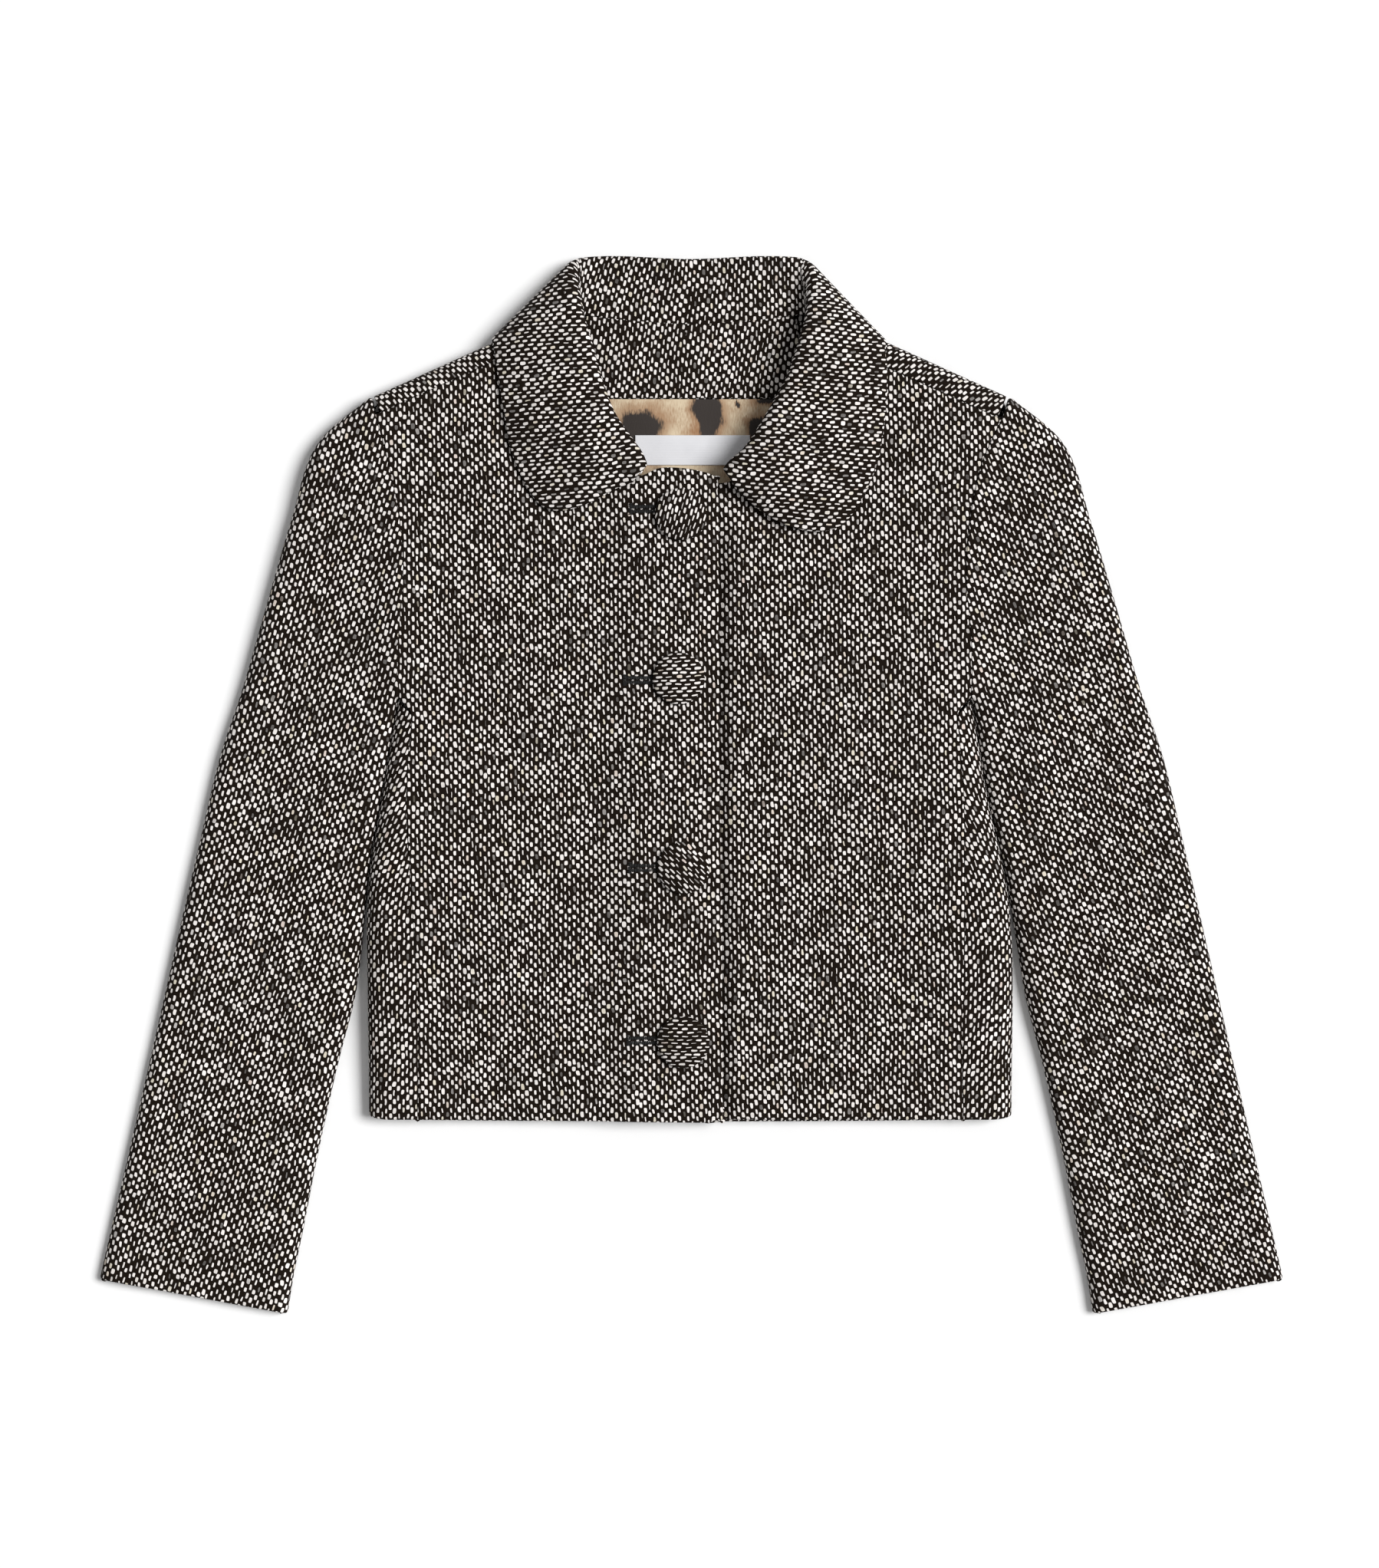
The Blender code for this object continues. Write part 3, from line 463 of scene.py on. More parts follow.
# body: the flattened bag that the back and fronts lie round
body = {
    "hemY": -176.0, "hemSideLift": 1.6, "loft": 14.5, "sag": 1.0, "sagHalfWidth": 150.0,
    "hemDrop": 2.6, "hemDropSpan": 55.0, "foldRound": 10.0,
    "neckRise": 2.9, "neckRiseY": (160.0, 217.0), "neckRiseX": (150.0, 106.0),
    "armpitY": 43.6, "armpitClear": 6.0, "shoulderPoint": (166.8, 202.2), "neckPoint": (63.6, 248.6),
    "shoulderEndInset": 1.8,
    # y, half width, how far in from the fold the side seam lies
    "sides": ((-176.0, 168.2, 26.0), (-143.0, 168.4, 27.0), (-111.0, 168.8, 27.0), (-53.0, 168.4, 23.0),
              (-4.0, 160.8, 13.0), (43.6, 153.0, 9.0)),
    "armhole": ((153.0, 43.6), (152.5, 75.0), (149.5, 108.0), (151.0, 135.0), (156.8, 166.0), (166.8, 202.2)),
    "insetLow": (-111.0, 9.0), "insetHigh": (205.0, 160.0),
    "backNeck": ((52.0, 242.4), (30.0, 239.9), (0.0, 237.9)),
}
halves = {
    "right": {"sign": -1, "armholeInset": 0.0, "shoulderSeamIn": 10.0, "neckEndInset": 4.0, "sleeveOut": 0.0},
    "left": {"sign": 1, "armholeInset": 6.0, "shoulderSeamIn": 13.0, "neckEndInset": 9.0, "sleeveOut": 1.2},
}
sideCurve = evenly(body["sides"], 60)
shoulderPoint, neckPoint = np.array(body["shoulderPoint"]), np.array(body["neckPoint"])
shoulderLength = np.linalg.norm(neckPoint - shoulderPoint)
shoulderAlong = (neckPoint - shoulderPoint) / shoulderLength
shoulderOut = np.array((shoulderAlong[1], -shoulderAlong[0]))
foldLength = np.pi * np.sqrt((body["foldRound"] ** 2 + (body["loft"] / 2) ** 2) / 2)


def armholeShift(side, y):
    return halves[side]["armholeInset"] * softStep(y, *body["insetLow"]) * softStep(y, *body["insetHigh"])


def sideFold(side, y):
    return np.interp(y, sideCurve[:, 0], sideCurve[:, 1]) - armholeShift(side, y)


def sideSeamIn(y):
    return np.interp(y, sideCurve[:, 0], sideCurve[:, 2])


def armholeLine(side, count):
    line = evenly(body["armhole"], count)
    line[:, 0] -= armholeShift(side, line[:, 1])
    return line


def onShoulder(along, out):
    return shoulderPoint + np.multiply.outer(along, shoulderAlong) + np.multiply.outer(out, shoulderOut)


def mirrored(side, plan):
    return plan * (halves[side]["sign"], 1)


foldHeights = np.linspace(body["hemY"] - body["foldRound"], body["armpitY"], 60)
foldLines = {side: np.stack([sideFold(side, foldHeights), foldHeights], axis=1) for side in halves}
shoulderLine = np.stack([shoulderPoint, neckPoint])


def bodyHeights(plan):
    x, y = plan[..., 0], plan[..., 1]
    half = np.stack([np.abs(x), y], axis=-1)
    sides = np.where(x < 0, distanceTo(half, foldLines["right"]), distanceTo(half, foldLines["left"]))
    rise = risen(sides, body["foldRound"]) * risen(distanceTo(half, shoulderLine), body["foldRound"])
    top = body["loft"] - body["sag"] * np.clip(1 - (x / body["sagHalfWidth"]) ** 2, 0, 1)
    top = top - body["hemDrop"] * (1 - softStep(y, body["hemY"], body["hemY"] + body["hemDropSpan"]))
    under = body["neckRise"] * softStep(y, *body["neckRiseY"]) * softStep(np.abs(x), *body["neckRiseX"])
    middle, rise = (top + under) / 2, (top - under) / 2 * rise
    return middle - rise, middle + rise


def runTo(seamIn):  # cloth from where a fold begins to a seam this far in from it, on top
    onBend = foldLength * (0.5 + np.arccos(np.clip(1 - seamIn / body["foldRound"], -1, 1)) / np.pi)
    return np.where(seamIn < body["foldRound"], onBend, foldLength + seamIn - body["foldRound"])


def rolled(run):
    angle = np.pi * np.clip(run / foldLength, 0, 1) - np.pi / 2
    return body["foldRound"] * np.cos(angle) - np.clip(run - foldLength, 0, None)


def foldBack(flat):  # the flat back panel folded round the sides and over the shoulders
    sign = np.where(flat[..., 0] < 0, -1, 1)
    x, y = np.abs(flat[..., 0]), flat[..., 1]
    start = np.where(sign < 0, sideFold("right", y), sideFold("left", y)) - body["foldRound"]
    run = np.where(y < body["armpitY"], x - start, 0)
    over = run > foldLength / 2
    half = np.stack([np.where(run > 0, start + rolled(run), x), y], axis=-1)
    run = np.where(y > body["armpitY"], (half - shoulderPoint) @ shoulderOut + body["foldRound"], 0)
    over |= run > foldLength / 2
    half = half + np.where(run > 0, rolled(run) - run, 0)[..., None] * shoulderOut
    plan = half * np.stack([sign, np.ones_like(sign)], axis=-1)
    under, top = bodyHeights(plan)
    return raised(plan, np.where(over, top, under))


# back: one panel, its sides folded round to the side seams and its top folded over to the shoulder seams
back = {
    "wall": 2.2, "columns": 76, "rows": 84, "flatWidth": 396.0, "flatLength": 432.0,
    "cornerWear": 2.0, "wearSpan": 8.0,  # the hem's corners are worn round
}


def seamHeights():
    return np.linspace(body["hemY"] + body["hemSideLift"], body["armpitY"] - body["armpitClear"], 60)


def backSide(side):
    y = seamHeights()
    sideSeam = np.stack([sideFold(side, y) - body["foldRound"] + runTo(sideSeamIn(y)), y], axis=1)
    hole = armholeLine(side, 60)
    corner = np.array([(hole[0, 0] - body["foldRound"] + foldLength / 2, body["armpitY"])])
    run = np.linspace(0, runTo(halves[side]["shoulderSeamIn"]), 16)
    shoulder = onShoulder(np.full(16, body["shoulderEndInset"]), run - body["foldRound"])
    return mirrored(side, np.concatenate([sideSeam, corner, hole[2:-1], shoulder]))


def backTop(side):
    out = runTo(halves[side]["shoulderSeamIn"]) - body["foldRound"]
    ends = np.array((body["shoulderEndInset"], shoulderLength - halves[side]["neckEndInset"]))
    seam = onShoulder(ends, np.full(2, out))
    turn = onShoulder(np.full(2, ends[1]), np.array((out / 2, -body["foldRound"] / 2)))
    neck = np.concatenate([seam[1:], turn, body["backNeck"]])
    return mirrored(side, np.concatenate([seam[:1], evenly(neck, 60)]))


def backForm(across, up):
    left, right = backSide("right"), backSide("left")
    top = np.concatenate([backTop("right"), backTop("left")[-2::-1]])
    share = np.linspace(0, 1, 200)[:, None]
    hem = left[0] * (1 - share) + right[0] * share
    hem[:, 1] -= body["hemSideLift"] * (1 - (2 * share[:, 0] - 1) ** 2)
    foldX = sideFold("right", body["hemY"]) - body["foldRound"] + foldLength / 2
    fromFold = (np.abs(hem[:, 0]) - foldX) / back["wearSpan"]
    hem[:, 1] += back["cornerWear"] * np.exp(-(fromFold**2))
    hem[[0, -1]] = left[0], right[0]
    flat = fillBetween(left, right, hem, top, across, up)
    return foldBack(flat), flat


backPiece = layCloth("jacket_back", backForm, back, (seamEdge, seamEdge), (hemEdge, seamEdge), flip=True)
showAs(backPiece, "back", tweed)

# collar sections from the right front end round the neck to the left one: neck seam, crest of the roll,
# free edge, the roll's radius, and its turn, 0 where the leaf lies over the front and 180 under the back
collar = {
    "wall": 2.5, "bulge": 2.5, "columns": 26, "rows": 118, "flatWidth": 72.0, "flatLength": 330.0,
    "standDegrees": -9.0, "standY": 239.0,
    "slack": {"seed": 21, "height": 0.35, "wave": 46.0}, "slackFull": 0.7,
}
collarRows = (
    (-25.5, 161.0, 18.2, -23.0, 165.0, 20.4, -29.5, 157.5, 18.4, 1.9, 0),
    (-29.5, 166.5, 17.0, -25.0, 171.0, 20.4, -39.0, 154.5, 18.0, 2.6, 0),
    (-35.0, 172.5, 15.5, -29.5, 177.5, 20.4, -50.0, 147.5, 17.0, 3.2, 0),
    (-46.5, 188.0, 13.4, -40.0, 193.0, 20.5, -75.0, 143.0, 16.0, 4.0, 0),
    (-53.5, 206.5, 13.2, -46.5, 211.0, 20.5, -91.0, 167.0, 16.0, 4.0, 0),
    (-59.0, 226.5, 13.0, -52.0, 230.0, 20.5, -97.5, 198.0, 16.0, 4.0, 0),
    (-61.0, 235.0, 12.4, -55.0, 240.5, 19.5, -100.0, 211.5, 16.0, 4.0, 8),
    (-62.0, 241.0, 11.2, -57.5, 253.0, 17.0, -101.5, 223.0, 15.2, 3.8, 35),
    (-61.5, 244.5, 8.8, -59.5, 269.0, 11.4, -103.0, 231.5, 8.5, 3.4, 90),
    (-59.5, 245.2, 7.2, -57.5, 272.8, 8.2, -101.0, 230.2, 3.2, 3.3, 125),
    (-57.5, 245.2, 6.5, -54.0, 274.2, 6.4, -91.5, 228.0, 1.5, 3.2, 150),
    (-52.0, 244.6, 5.9, -47.0, 274.9, 5.0, -78.0, 223.0, 1.4, 3.2, 170),
    (-40.0, 242.5, 5.4, -36.0, 275.0, 4.6, -52.0, 223.0, 1.4, 3.2, 180),
    (0.0, 239.5, 5.2, 0.0, 273.5, 4.6, 0.0, 224.5, 1.4, 3.2, 180),
    (40.0, 242.5, 5.4, 36.0, 275.0, 4.6, 52.0, 223.0, 1.4, 3.2, 180),
    (53.0, 244.6, 5.9, 48.0, 274.9, 5.0, 78.0, 223.0, 1.4, 3.2, 170),
    (58.5, 245.2, 6.5, 55.0, 274.2, 6.4, 91.5, 228.0, 1.5, 3.2, 150),
    (61.0, 245.2, 7.2, 58.6, 272.2, 8.2, 100.0, 229.2, 3.2, 3.3, 125),
    (63.0, 244.5, 8.8, 60.2, 267.9, 11.4, 101.8, 230.2, 8.5, 3.4, 90),
    (64.5, 241.0, 11.2, 61.2, 253.0, 17.0, 101.4, 222.8, 15.2, 3.8, 35),
    (64.5, 235.0, 12.4, 60.0, 241.0, 20.0, 102.5, 211.0, 16.0, 4.0, 8),
    (62.5, 227.0, 13.0, 57.0, 231.0, 21.0, 101.5, 193.0, 16.0, 4.2, 0),
    (57.0, 208.0, 13.0, 51.0, 212.5, 21.8, 95.0, 160.5, 16.4, 4.4, 0),
    (46.5, 188.0, 13.0, 40.0, 192.0, 22.2, 76.0, 133.0, 17.2, 4.4, 0),
    (33.0, 170.5, 13.4, 27.5, 173.0, 21.5, 47.0, 136.0, 18.2, 3.6, 0),
    (25.0, 164.5, 14.4, 20.8, 167.5, 20.0, 34.0, 145.0, 18.2, 2.8, 0),
    (20.5, 159.0, 15.4, 17.4, 163.0, 18.8, 23.5, 154.5, 17.8, 1.9, 0),
)
standEnd, rollEnd = 0.28, 0.46  # shares of a section where the stand and the roll end
crestAt = round((standEnd + rollEnd) / 2, 9)


def leaning(weave):  # the stand and its facing are cut a little off the straight
    turn = np.radians(collar["standDegrees"])
    return np.stack([weave @ (np.cos(turn), np.sin(turn)), weave @ (-np.sin(turn), np.cos(turn))], axis=-1)


def meeting(first, second, fromFirst, fromSecond, side):  # flat place as far from two others as these steps
    span = np.linalg.norm(second - first)
    along = (fromFirst @ fromFirst - fromSecond @ fromSecond + span**2) / (2 * span)
    off = side * max(fromFirst @ fromFirst - along**2, 0) ** 0.5
    way = (second - first) / span
    return first + along * way + off * np.array((-way[1], way[0]))


def unrolled(inner, outer):  # the strip between two lines in space laid flat, from where its first row lies
    ahead, acrossRow = (inner[1] - inner[0])[:2], (outer[0] - inner[0])[:2]
    side = np.sign(acrossRow[0] * ahead[1] - acrossRow[1] * ahead[0])
    rows = [(inner[0, :2], outer[0, :2])]
    for i in range(1, len(inner)):
        near, far = rows[-1]
        near = meeting(near, far, inner[i] - inner[i - 1], inner[i] - outer[i - 1], side)
        rows.append((near, meeting(near, far, outer[i] - inner[i], outer[i] - outer[i - 1], side)))
    rows = np.array(rows)
    return rows[:, 0], rows[:, 1]


def collarForm(across, up):
    rows = alongCurve(collarRows, up)
    neck, roll, edge = rows[:, 0:3], rows[:, 3:6], rows[:, 6:9]
    radius, turn = rows[:, 9:10], np.radians(rows[:, 10:11])
    crest = unit((roll - (neck + edge) / 2) * (1, 1, 0))
    outwards = np.stack([-crest[:, 1], crest[:, 0], 0 * crest[:, 0]], axis=1) * -np.sign(roll[:, :1] + 1e-9)
    upwards = np.array((0.0, 0.0, 1.0))
    over = np.cos(turn) * upwards + np.sin(turn) * outwards
    centre = roll - crest * radius
    standTop, leafStart = centre - over * radius, centre + over * radius
    bulge = collar["bulge"] * (1 + np.cos(turn)) / 2 * upwards
    columns = []
    for share in across:
        if share < standEnd:
            columns.append(neck + (standTop - neck) * share / standEnd)
        elif share < rollEnd:
            angle = np.pi * ((share - standEnd) / (rollEnd - standEnd) - 0.5)
            columns.append(centre + radius * (crest * np.cos(angle) + over * np.sin(angle)))
        else:
            part = (share - rollEnd) / (1 - rollEnd)
            columns.append(leafStart * (1 - part) + edge * part + bulge * 4 * part * (1 - part))
    place = np.stack(columns, axis=1)
    slack = unevenness(place[..., :2], **collar["slack"])
    place[..., 2] += slack * softStep(across, rollEnd, collar["slackFull"])[None]
    # weave: upright on the stand, run off round the neck; crosswise on the leaves, from their front ends
    steps = np.linalg.norm(np.diff(place, axis=1), axis=-1)
    run = np.concatenate([np.zeros((len(up), 1)), np.cumsum(steps, axis=1)], axis=1)
    aroundNeck = runLength((neck + roll) / 2)
    aroundNeck = aroundNeck - np.interp(0.5, up, aroundNeck)
    aroundNeck = np.broadcast_to(aroundNeck[:, None], run.shape)
    stand = leaning(np.stack([aroundNeck, collar["standY"] + run], axis=-1))
    startRun = np.stack([np.interp(rollEnd, across, line) for line in run])[:, None]
    share = ((run - startRun) / (run[:, -1:] - startRun))[..., None]
    leaves = []
    for order in (slice(None), slice(None, None, -1)):
        near, far = (line[order][:, None] for line in unrolled(leafStart[order], edge[order]))
        leaves.append((near * (1 - share) + far * share)[..., ::-1] * (-1, 1))
    return place, stand, *leaves


collarPiece = layCloth(
    "jacket_collar", collarForm, collar, (seamEdge, leafEdge), (leafEdge, leafEdge),
    flip=True, lift=collar["wall"] / 2,
    weaveOf=lambda column, row: np.where(column < crestAt, 0, np.where(row < 0.5, 1, 2)),
)
showAs(collarPiece, "collar", tweed)

# fronts: the right one laps over the left one
front = {
    "wall": 2.4, "columns": 46, "rows": 100, "flatLength": 405.0, "neckClear": 1.8,
    "slack": 0.42, "slackWave": 95.0, "slackFrom": (2.0, 30.0),
    "lapRaise": 2.8, "lapRampX": (-48.0, -26.0), "cornerWear": 1.6, "wearSpan": (5.0, 9.0),
    # the left one is pressed down along the lap, and comes up again under it and at the neck
    "lapDip": 4.8, "lapDipX": (24.0, 12.5), "lapUp": 0.7, "lapUpX": (9.0, -8.0),
    "neckUp": 0.75, "neckUpY": (112.0, 148.0),
}
frontSides = {
    "right": {
        "edge": ((17.2, -176.0), (16.0, -31.0), (15.2, 49.0), (14.8, 121.0), (14.4, 159.6)),
        "neckEnd": ((-18.0, 164.6), (-10.0, 165.0), (2.0, 163.8), (10.0, 161.8)),
        "flatWidth": 166.0, "seed": 3,
    },
    "left": {
        "edge": ((-24.0, -174.5), (-24.0, 155.0)),
        "neckEnd": ((12.0, 157.0), (-10.0, 156.0)),
        "flatWidth": 170.0, "seed": 7,
    },
}


def frontNeck(side):
    half, made = halves[side], frontSides[side]
    rows = np.array(collarRows)
    rows = rows[(rows[:, 10] < 90) & (np.sign(rows[:, 0]) == half["sign"])]
    rows = rows if side == "left" else rows[::-1]
    neck = rows[:, 0:2] + front["neckClear"] * unit(rows[:, 0:2] - rows[:, 3:5])
    corner = mirrored(side, onShoulder(shoulderLength - half["neckEndInset"], -half["shoulderSeamIn"]))
    below = neck[neck[:, 1] < corner[1] - 4]
    return np.concatenate([corner[None], below, made["neckEnd"], made["edge"][-1:]])


def frontTop(side, plan):
    top = bodyHeights(plan)[1]
    return top + front["lapRaise"] * softStep(plan[..., 0], *front["lapRampX"]) if side == "right" else top


def frontForm(side):
    def form(across, up):
        y = seamHeights()
        sideSeam = np.stack([sideFold(side, y) - sideSeamIn(y), y], axis=1)
        hole = armholeLine(side, 80)
        seamOut = -halves[side]["shoulderSeamIn"]
        out = (hole - shoulderPoint) @ shoulderOut
        end = np.array([np.interp(seamOut, out, column) for column in hole.T])
        outer = mirrored(side, np.concatenate([sideSeam, hole[out < seamOut - 1][1:], end[None]]))
        top = np.concatenate([outer[-1:], evenly(frontNeck(side), 80)])
        edge = evenly(frontSides[side]["edge"], 60)
        plan = fillBetween(outer, edge, np.stack([outer[0], edge[0]]), top, across, up)
        away = np.minimum(distanceTo(plan, outer), distanceTo(plan, top))
        lift = unevenness(plan, frontSides[side]["seed"], front["slack"], front["slackWave"])
        lift = lift * softStep(away, *front["slackFrom"])
        x, y = plan[..., 0], plan[..., 1]
        if side == "left":
            dip = softStep(x, *front["lapDipX"]) * (1 - front["lapUp"] * softStep(x, *front["lapUpX"]))
            lift = lift - front["lapDip"] * dip * (1 - front["neckUp"] * softStep(y, *front["neckUpY"]))
        else:
            fromCorner = (plan - frontSides[side]["edge"][0]) / front["wearSpan"]
            plan[..., 1] += front["cornerWear"] * np.exp(-np.linalg.norm(fromCorner, axis=-1) ** 2)
        return raised(plan, frontTop(side, plan) + lift), plan
    return form


frontPieces = {}
for side in ("left", "right"):
    spec = {**front, **frontSides[side]}
    frontPieces[side] = layCloth(
        side + "_front_panel", frontForm(side), spec, (seamEdge, frontEdge), (hemEdge, frontEdge),
        flip=side == "left",
    )
    showAs(frontPieces[side], side + "_front", tweed)

# sleeves: flattened tubes from the armhole to the cuff, with the grain along them
sleeve = {
    "wall": 2.2, "columns": 68, "rows": 84, "flatLength": 470.0, "round": 7.5,
    "outerFold": 0.3, "innerFold": 0.36,  # how high the folds lie, as shares of the loft
    "bendShare": 0.22, "bendRun": 1.36, "underFrom": 0.3, "grainDegrees": {"right": 18.0, "left": 16.5},
    "seed": {"right": 37, "left": 31}, "slack": 0.5, "slackWave": 80.0, "slackFrom": (4.0, 30.0),
}
# outer x, outer y, inner y, the inner edge's way from the body's fold, loft, share of the armhole's curve
sleeveRows = (
    (166.8, 202.2, 43.6, -0.4, 15.0, 1.00), (194.0, 178.8, 37.2, -0.5, 14.0, 0.75),
    (208.2, 138.2, 19.2, -0.6, 12.6, 0.45), (222.4, 90.0, -6.8, -0.6, 11.6, 0.20),
    (234.0, 49.8, -32.8, -0.6, 10.8, 0.05), (244.8, 17.8, -62.8, 0.2, 10.2, 0.0),
    (256.4, -30.2, -106.8, 5.4, 9.8, 0.0), (268.4, -82.2, -146.8, 15.8, 9.4, 0.0),
    (280.2, -134.4, -190.8, 25.8, 9.0, 0.0), (293.0, -190.4, -234.8, 34.4, 8.7, 0.0),
    (301.4, -226.6, -256.8, 39.0, 8.4, 0.0), (308.6, -258.0, -276.1, 42.0, 8.2, 0.0),
)


def sleeveEdges(side, up):
    rows = alongCurve(sleeveRows, up)
    inner = np.stack([sideFold(side, rows[:, 2]) + rows[:, 3], rows[:, 2]], axis=1)
    outer = rows[:, :2] + halves[side]["sleeveOut"] * (1 - rows[:, 5:6]) * (1, 0)
    return outer, inner, rows[:, 4], rows[:, 5]


def sleeveForm(side):
    def form(around, up):
        outer, inner, loft, bow = sleeveEdges(side, up)
        outerFold, innerFold, _, _ = sleeveEdges(side, np.linspace(0, 1, 80))
        onTop = (around >= 0.25) & (around <= 0.75)
        half = np.where(onTop, around - 0.25, np.where(around < 0.25, 0.25 - around, 1.25 - around)) * 2
        fold, bend = sleeve["round"], sleeve["bendShare"]
        near = fold / np.linalg.norm(inner - outer, axis=1)[:, None]
        fromEdge = np.minimum(half, 1 - half)[None]
        inBend = near * (1 - np.cos(np.clip(fromEdge / bend, 0, 1) * np.pi / 2))
        inFlat = near + (0.5 - near) * np.clip((fromEdge - bend) / (0.5 - bend), 0, 1)
        share = np.where(fromEdge < bend, inBend, inFlat)
        share = np.where(half[None] > 0.5, 1 - share, share)[..., None]
        hole = armholeLine(side, 80)[::-1]
        seam = alongCurve(hole, share[..., 0])
        chord = hole[0] * (1 - share) + hole[-1] * share
        plan = outer[:, None] * (1 - share) + inner[:, None] * share + bow[:, None, None] * (seam - chord)
        toOuter, toInner = distanceTo(plan, outerFold), distanceTo(plan, innerFold)
        rise = risen(toOuter, fold) * risen(toInner, fold)
        rise[:, (half == 0) | (half == 1)] = 0
        lift = unevenness(plan, sleeve["seed"][side], sleeve["slack"], sleeve["slackWave"])
        lift = lift * rise * softStep(np.minimum(toOuter, toInner), *sleeve["slackFrom"])
        # the folds lie low on the table, except at the armhole
        low = np.where(half <= 0.5, sleeve["outerFold"], sleeve["innerFold"])[None]
        foldAt = (low + (0.5 - low) * bow[:, None]) * loft[:, None]
        z = foldAt + np.where(onTop, (loft[:, None] - foldAt) * rise + lift, -foldAt * rise)
        # weave: straight down the sleeve and on round both folds, and straight down the underside
        mirror = halves[side]["sign"]
        turn = np.radians(sleeve["grainDegrees"][side])
        crossing = (np.cos(turn), np.sin(turn))
        crosswise, lengthwise = plan @ crossing, plan @ (-np.sin(turn), np.cos(turn))
        under = np.stack([-crosswise * mirror, lengthwise], axis=-1)
        outerHalf = half[None] <= 0.5
        away = np.minimum(np.where(outerHalf, toOuter, toInner), fold)
        bendLength = sleeve["bendRun"] * fold
        extra = bendLength * (1 - np.arccos(1 - away / fold) / (np.pi / 2)) - (fold - away)
        crosswise = crosswise + np.where(outerHalf, extra, -extra)
        edgeOuter = (outer @ crossing)[:, None] + bendLength - fold
        edgeInner = (inner @ crossing)[:, None] - bendLength + fold
        foldedOn = 2 * np.where(outerHalf, edgeOuter, edgeInner) - crosswise
        crosswise = np.where(onTop[None], crosswise, foldedOn)
        place = np.stack([plan[..., 0] * mirror, plan[..., 1], z], axis=-1)
        return place, np.stack([crosswise * mirror, lengthwise], axis=-1), under
    return form


sleevePieces = {}
for side in ("left", "right"):
    sleevePieces[side] = layCloth(
        side + "_sleeve_tube", sleeveForm(side), sleeve, None, (armholeEdge, cuffEdge), flip=side == "right",
        weaveOf=lambda column, row: np.where(np.abs(column - 0.5) > sleeve["underFrom"], 1, 0),
    )
    showAs(sleevePieces[side], side + "_sleeve", straightTweed if side == "right" else tweed)

# inside of the back neck: tweed facing, printed lining below it, and the bare satin label
inside = {"slack": 0.18, "slackWave": 40.0, "gap": 0.5}
facing = {
    "wall": 1.8, "above": 2.0, "seed": 41, "columns": 40, "rows": 16, "flatWidth": 128.0, "flatLength": 40.0,
    "bottomY": 201.6,
    # runs in under the stand
    "top": ((-54.0, 244.4), (-30.0, 242.0), (0.0, 240.3), (30.0, 242.0), (54.0, 244.4)),
}
liningPanel = {
    "wall": 0.5, "above": 0.8, "seed": 43, "columns": 40, "rows": 70, "flatWidth": 280.0, "flatLength": 365.0,
    "side": ((146.0, -158.0), (148.0, -70.0), (132.0, 0.0), (130.0, 60.0), (126.0, 120.0), (110.0, 201.2)),
}
label = {
    "wall": 0.4, "above": 0.9, "seed": 43, "columns": 40, "rows": 14, "flatWidth": 60.0, "flatLength": 15.6,
    "x": 1.2, "y": 174.6,
}


def insideForm(spec, left, right, above, top=None, weave=lambda plan: plan * (-1, 1)):
    top = np.stack([left[-1], right[-1]]) if top is None else top

    def form(across, up):
        plan = fillBetween(left, right, np.stack([left[0], right[0]]), top, across, up)
        lift = above + unevenness(plan, spec["seed"], inside["slack"], inside["slackWave"])
        return raised(plan, bodyHeights(plan)[0] + lift), weave(plan)
    return form


overBack = back["wall"] + inside["gap"]
facingTop = evenly(facing["top"], 60)
facingRight = np.array(((facing["flatWidth"] / 2, facing["bottomY"]), facingTop[-1]))
overFacing = overBack + facing["above"]
facingForm = insideForm(facing, facingRight * (-1, 1), facingRight, overFacing, facingTop, leaning)
facingPiece = layCloth("back_neck_facing_band", facingForm, facing, [seamEdge] * 2, [seamEdge] * 2)
showAs(facingPiece, "back_neck_facing", tweed)

overLining = overBack + liningPanel["above"]
liningRight = evenly(liningPanel["side"], 80)
liningForm = insideForm(liningPanel, liningRight * (-1, 1), liningRight, overLining)
liningPiece = layCloth("back_lining_panel", liningForm, liningPanel, [thinEdge] * 2, [thinEdge] * 2)
showAs(liningPiece, "back_lining", liningCloth)

labelX = [label["x"] + side * label["flatWidth"] / 2 for side in (-1, 1)]
labelY = [label["y"] + end * label["flatLength"] / 2 for end in (-1, 1)]
labelLeft, labelRight = (np.array([(x, y) for y in labelY]) for x in labelX)
labelForm = insideForm(label, labelLeft, labelRight, overLining + label["above"])
labelPiece = layCloth("neck_label", labelForm, label, [thinEdge] * 2, [thinEdge] * 2)
showAs(labelPiece, "label", satin)

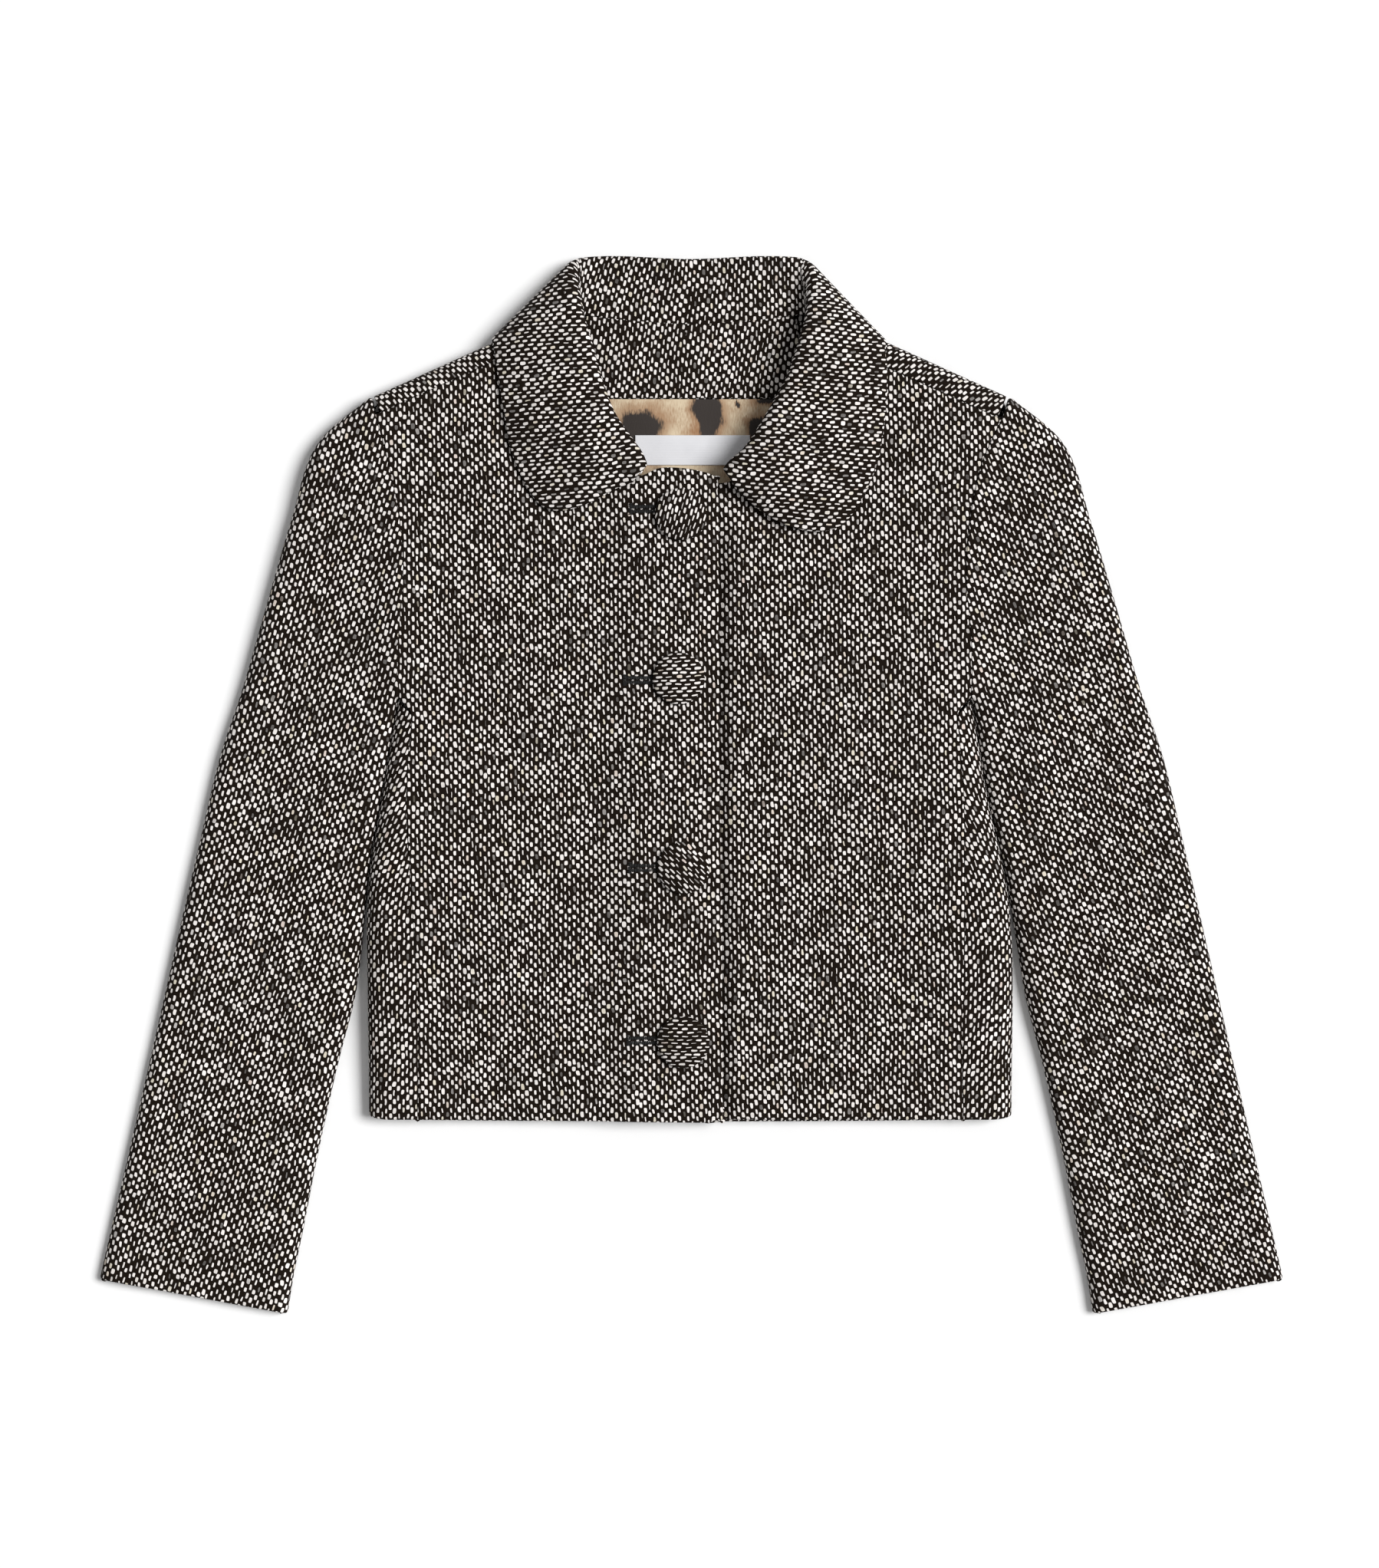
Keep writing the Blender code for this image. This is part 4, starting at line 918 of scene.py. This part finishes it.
# covered buttons: a domed disc with the cloth pulled round its rim into small pleats
buttonPlaces = (
    {"node": "button_1", "x": -4.8, "y": 140.4, "grain": -18.0, "hole": (-30.4, -18.4), "holeY": 143.2},
    {"node": "button_2", "x": -6.0, "y": 55.2, "grain": 92.0, "hole": (-33.6, -19.6), "holeY": 54.4},
    {"node": "button_3", "x": -3.6, "y": -43.2, "grain": 40.0, "hole": (-30.8, -14.4), "holeY": -43.2},
    {"node": "button_4", "x": -3.6, "y": -133.6, "grain": 88.0, "hole": (-31.6, -16.8), "holeY": -132.8},
)
button = {
    "radius": 13.5, "rim": 2.3, "crown": 3.4, "seat": 0.25, "rings": 16, "segments": 96, "pleats": 26,
    "pleatDepth": 0.16, "outOfRound": 0.006, "overRim": 2.4, "dome": 1.15, "spread": (0.82, 0.35),
}


def makeButton(spec):
    seat = float(frontTop("right", np.array((spec["x"], spec["y"])))) + button["seat"]
    bpy.ops.object.select_all(action="DESELECT")
    bpy.ops.mesh.primitive_uv_sphere_add(segments=button["segments"], ring_count=2 * button["rings"], radius=1)
    piece = bpy.context.object
    piece.name = piece.data.name = "covered_" + spec["node"]
    mesh = piece.data
    ball = readPlaces(mesh)
    tilt = np.arccos(np.clip(ball[:, 2], -1, 1))  # 0 at the crown, a quarter turn at the rim
    angle = np.arctan2(ball[:, 1], ball[:, 0])
    over = tilt <= np.pi / 2
    spread = np.sin(tilt) ** np.where(over, *button["spread"])
    pleat = np.sin(angle * button["pleats"] + 0.6 * np.sin(3 * angle)) * softStep(tilt, 1.15, 1.6)
    radius = spread * (button["radius"] + button["pleatDepth"] * pleat)
    radius = radius * (1 + button["outOfRound"] * np.sin(2 * angle + spec["x"]))
    dome = button["crown"] * np.maximum(np.cos(tilt), 0) ** button["dome"]
    height = button["rim"] + np.where(over, dome, button["rim"] * np.cos(tilt))
    turned = np.stack([radius * np.cos(angle), radius * np.sin(angle), height], axis=-1)
    mesh.vertices.foreach_set("co", ((turned + (spec["x"], spec["y"], seat)) * mm).ravel())
    # weave: drawn out from the crown, and on down the rim
    reach = np.where(over, radius, button["radius"] + (tilt - np.pi / 2) * button["overRim"])
    grainAngle = angle - np.radians(spec["grain"])
    weave = np.stack([reach * np.cos(grainAngle), reach * np.sin(grainAngle)], axis=-1)
    writeGrain(mesh, weave[readCorners(mesh)] + (spec["y"], 0))
    bpy.ops.object.shade_smooth()
    showAs(piece, spec["node"], buttonTweed)


for spec in buttonPlaces:
    makeButton(spec)
print("buttons made")

# worked buttonholes: black stitches side by side round each slit, and a bar tack at its inner end
stitch = {
    "across": 2.3, "pitch": 0.75, "wide": 0.95, "thick": 0.96, "lean": 5, "slit": 0.05, "seat": 0.15,
    "hidden": 12.0,  # what the button covers
    "bar": 2.4, "barOut": 0.6, "barLean": 4, "barSpan": (-0.3, 0.4),
}


def makeButtonhole(spec):
    startX, endX = spec["hole"]
    endX += stitch["hidden"]
    parts = []
    chance = np.random.default_rng(int(abs(spec["y"])))
    for way in (-1, 1):
        y = spec["holeY"] + way * (stitch["slit"] + stitch["across"] / 2)
        for x in np.arange(startX, endX, stitch["pitch"]):
            parts.append((x, y, stitch["across"], 90 + chance.normal(0, stitch["lean"])))
    low, high = stitch["barSpan"]
    for y in np.arange(low - stitch["across"], high + stitch["across"], stitch["pitch"]):
        x = startX - stitch["barOut"]
        parts.append((x, spec["holeY"] + y, stitch["bar"], chance.normal(0, stitch["barLean"])))
    made = []
    for x, y, length, degrees in parts:
        z = float(frontTop("right", np.array((x, y)))) + stitch["seat"]
        bpy.ops.mesh.primitive_uv_sphere_add(
            segments=10, ring_count=6, radius=0.5 * mm,
            location=(x * mm, y * mm, z * mm), rotation=(0, 0, np.radians(degrees)),
            scale=(length, stitch["wide"] * stitch["pitch"], stitch["thick"]),
        )
        made.append(bpy.context.object)
    bpy.ops.object.select_all(action="DESELECT")
    for part in made:
        part.select_set(True)
    bpy.context.view_layer.objects.active = made[0]
    bpy.ops.object.join()
    piece = bpy.context.object
    bpy.ops.object.transform_apply(location=True, rotation=True, scale=True)
    bpy.ops.object.shade_smooth()
    piece.name = piece.data.name = "buttonhole_" + spec["node"][-1]
    piece.data.materials.append(thread)
    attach(piece, "root")


for spec in buttonPlaces:
    makeButtonhole(spec)
print("buttonholes worked")

# stage: white floor, soft key from the right and a little from the top, white surround, camera straight above
floorSpec = {"size": 6.0, "z": -0.0003, "colour": "#fbfbfb"}
keySpec = {"strength": 3.14, "angle": 30.0, "elevation": 50.0, "fromDegrees": 10.0}
fillSpec = {"strength": 0.32}
cameraSpec = {"lens": 100.0, "sensor": 36.0, "x": -0.4, "y": 0.4, "z": 7.0}

bpy.ops.mesh.primitive_plane_add(size=floorSpec["size"], location=(0, 0, floorSpec["z"]))
floor = bpy.context.object
floor.name = "floor"
paper, _, paperShader = startMaterial("matt_paper", 0.9, 1.5)
paperShader.inputs["Base Color"].default_value = fromHex(floorSpec["colour"])
floor.data.materials.append(paper)

bpy.ops.object.light_add(type="SUN")
key = bpy.context.object
key.data.energy = keySpec["strength"]
key.data.angle = np.radians(keySpec["angle"])
key.rotation_euler = (0, np.radians(90 - keySpec["elevation"]), np.radians(keySpec["fromDegrees"]))

world = bpy.data.worlds.new("studio")
world.use_nodes = True
surround = world.node_tree.nodes["Background"]
surround.inputs["Color"].default_value = (1, 1, 1, 1)
surround.inputs["Strength"].default_value = fillSpec["strength"]
bpy.context.scene.world = world

frameHeight = photo["height"] * photo["mmPerPixel"] * mm
cameraZ = frameHeight * cameraSpec["lens"] / cameraSpec["sensor"] + cameraSpec["z"] * mm
cameraPlace = (cameraSpec["x"] * mm, cameraSpec["y"] * mm, cameraZ)
bpy.ops.object.camera_add(location=cameraPlace, rotation=(0, 0, 0))
camera = bpy.context.object
camera.data.lens = cameraSpec["lens"]
camera.data.sensor_width = cameraSpec["sensor"]
bpy.context.scene.camera = camera
bpy.context.scene.view_settings.view_transform = "Standard"
print("stage set")
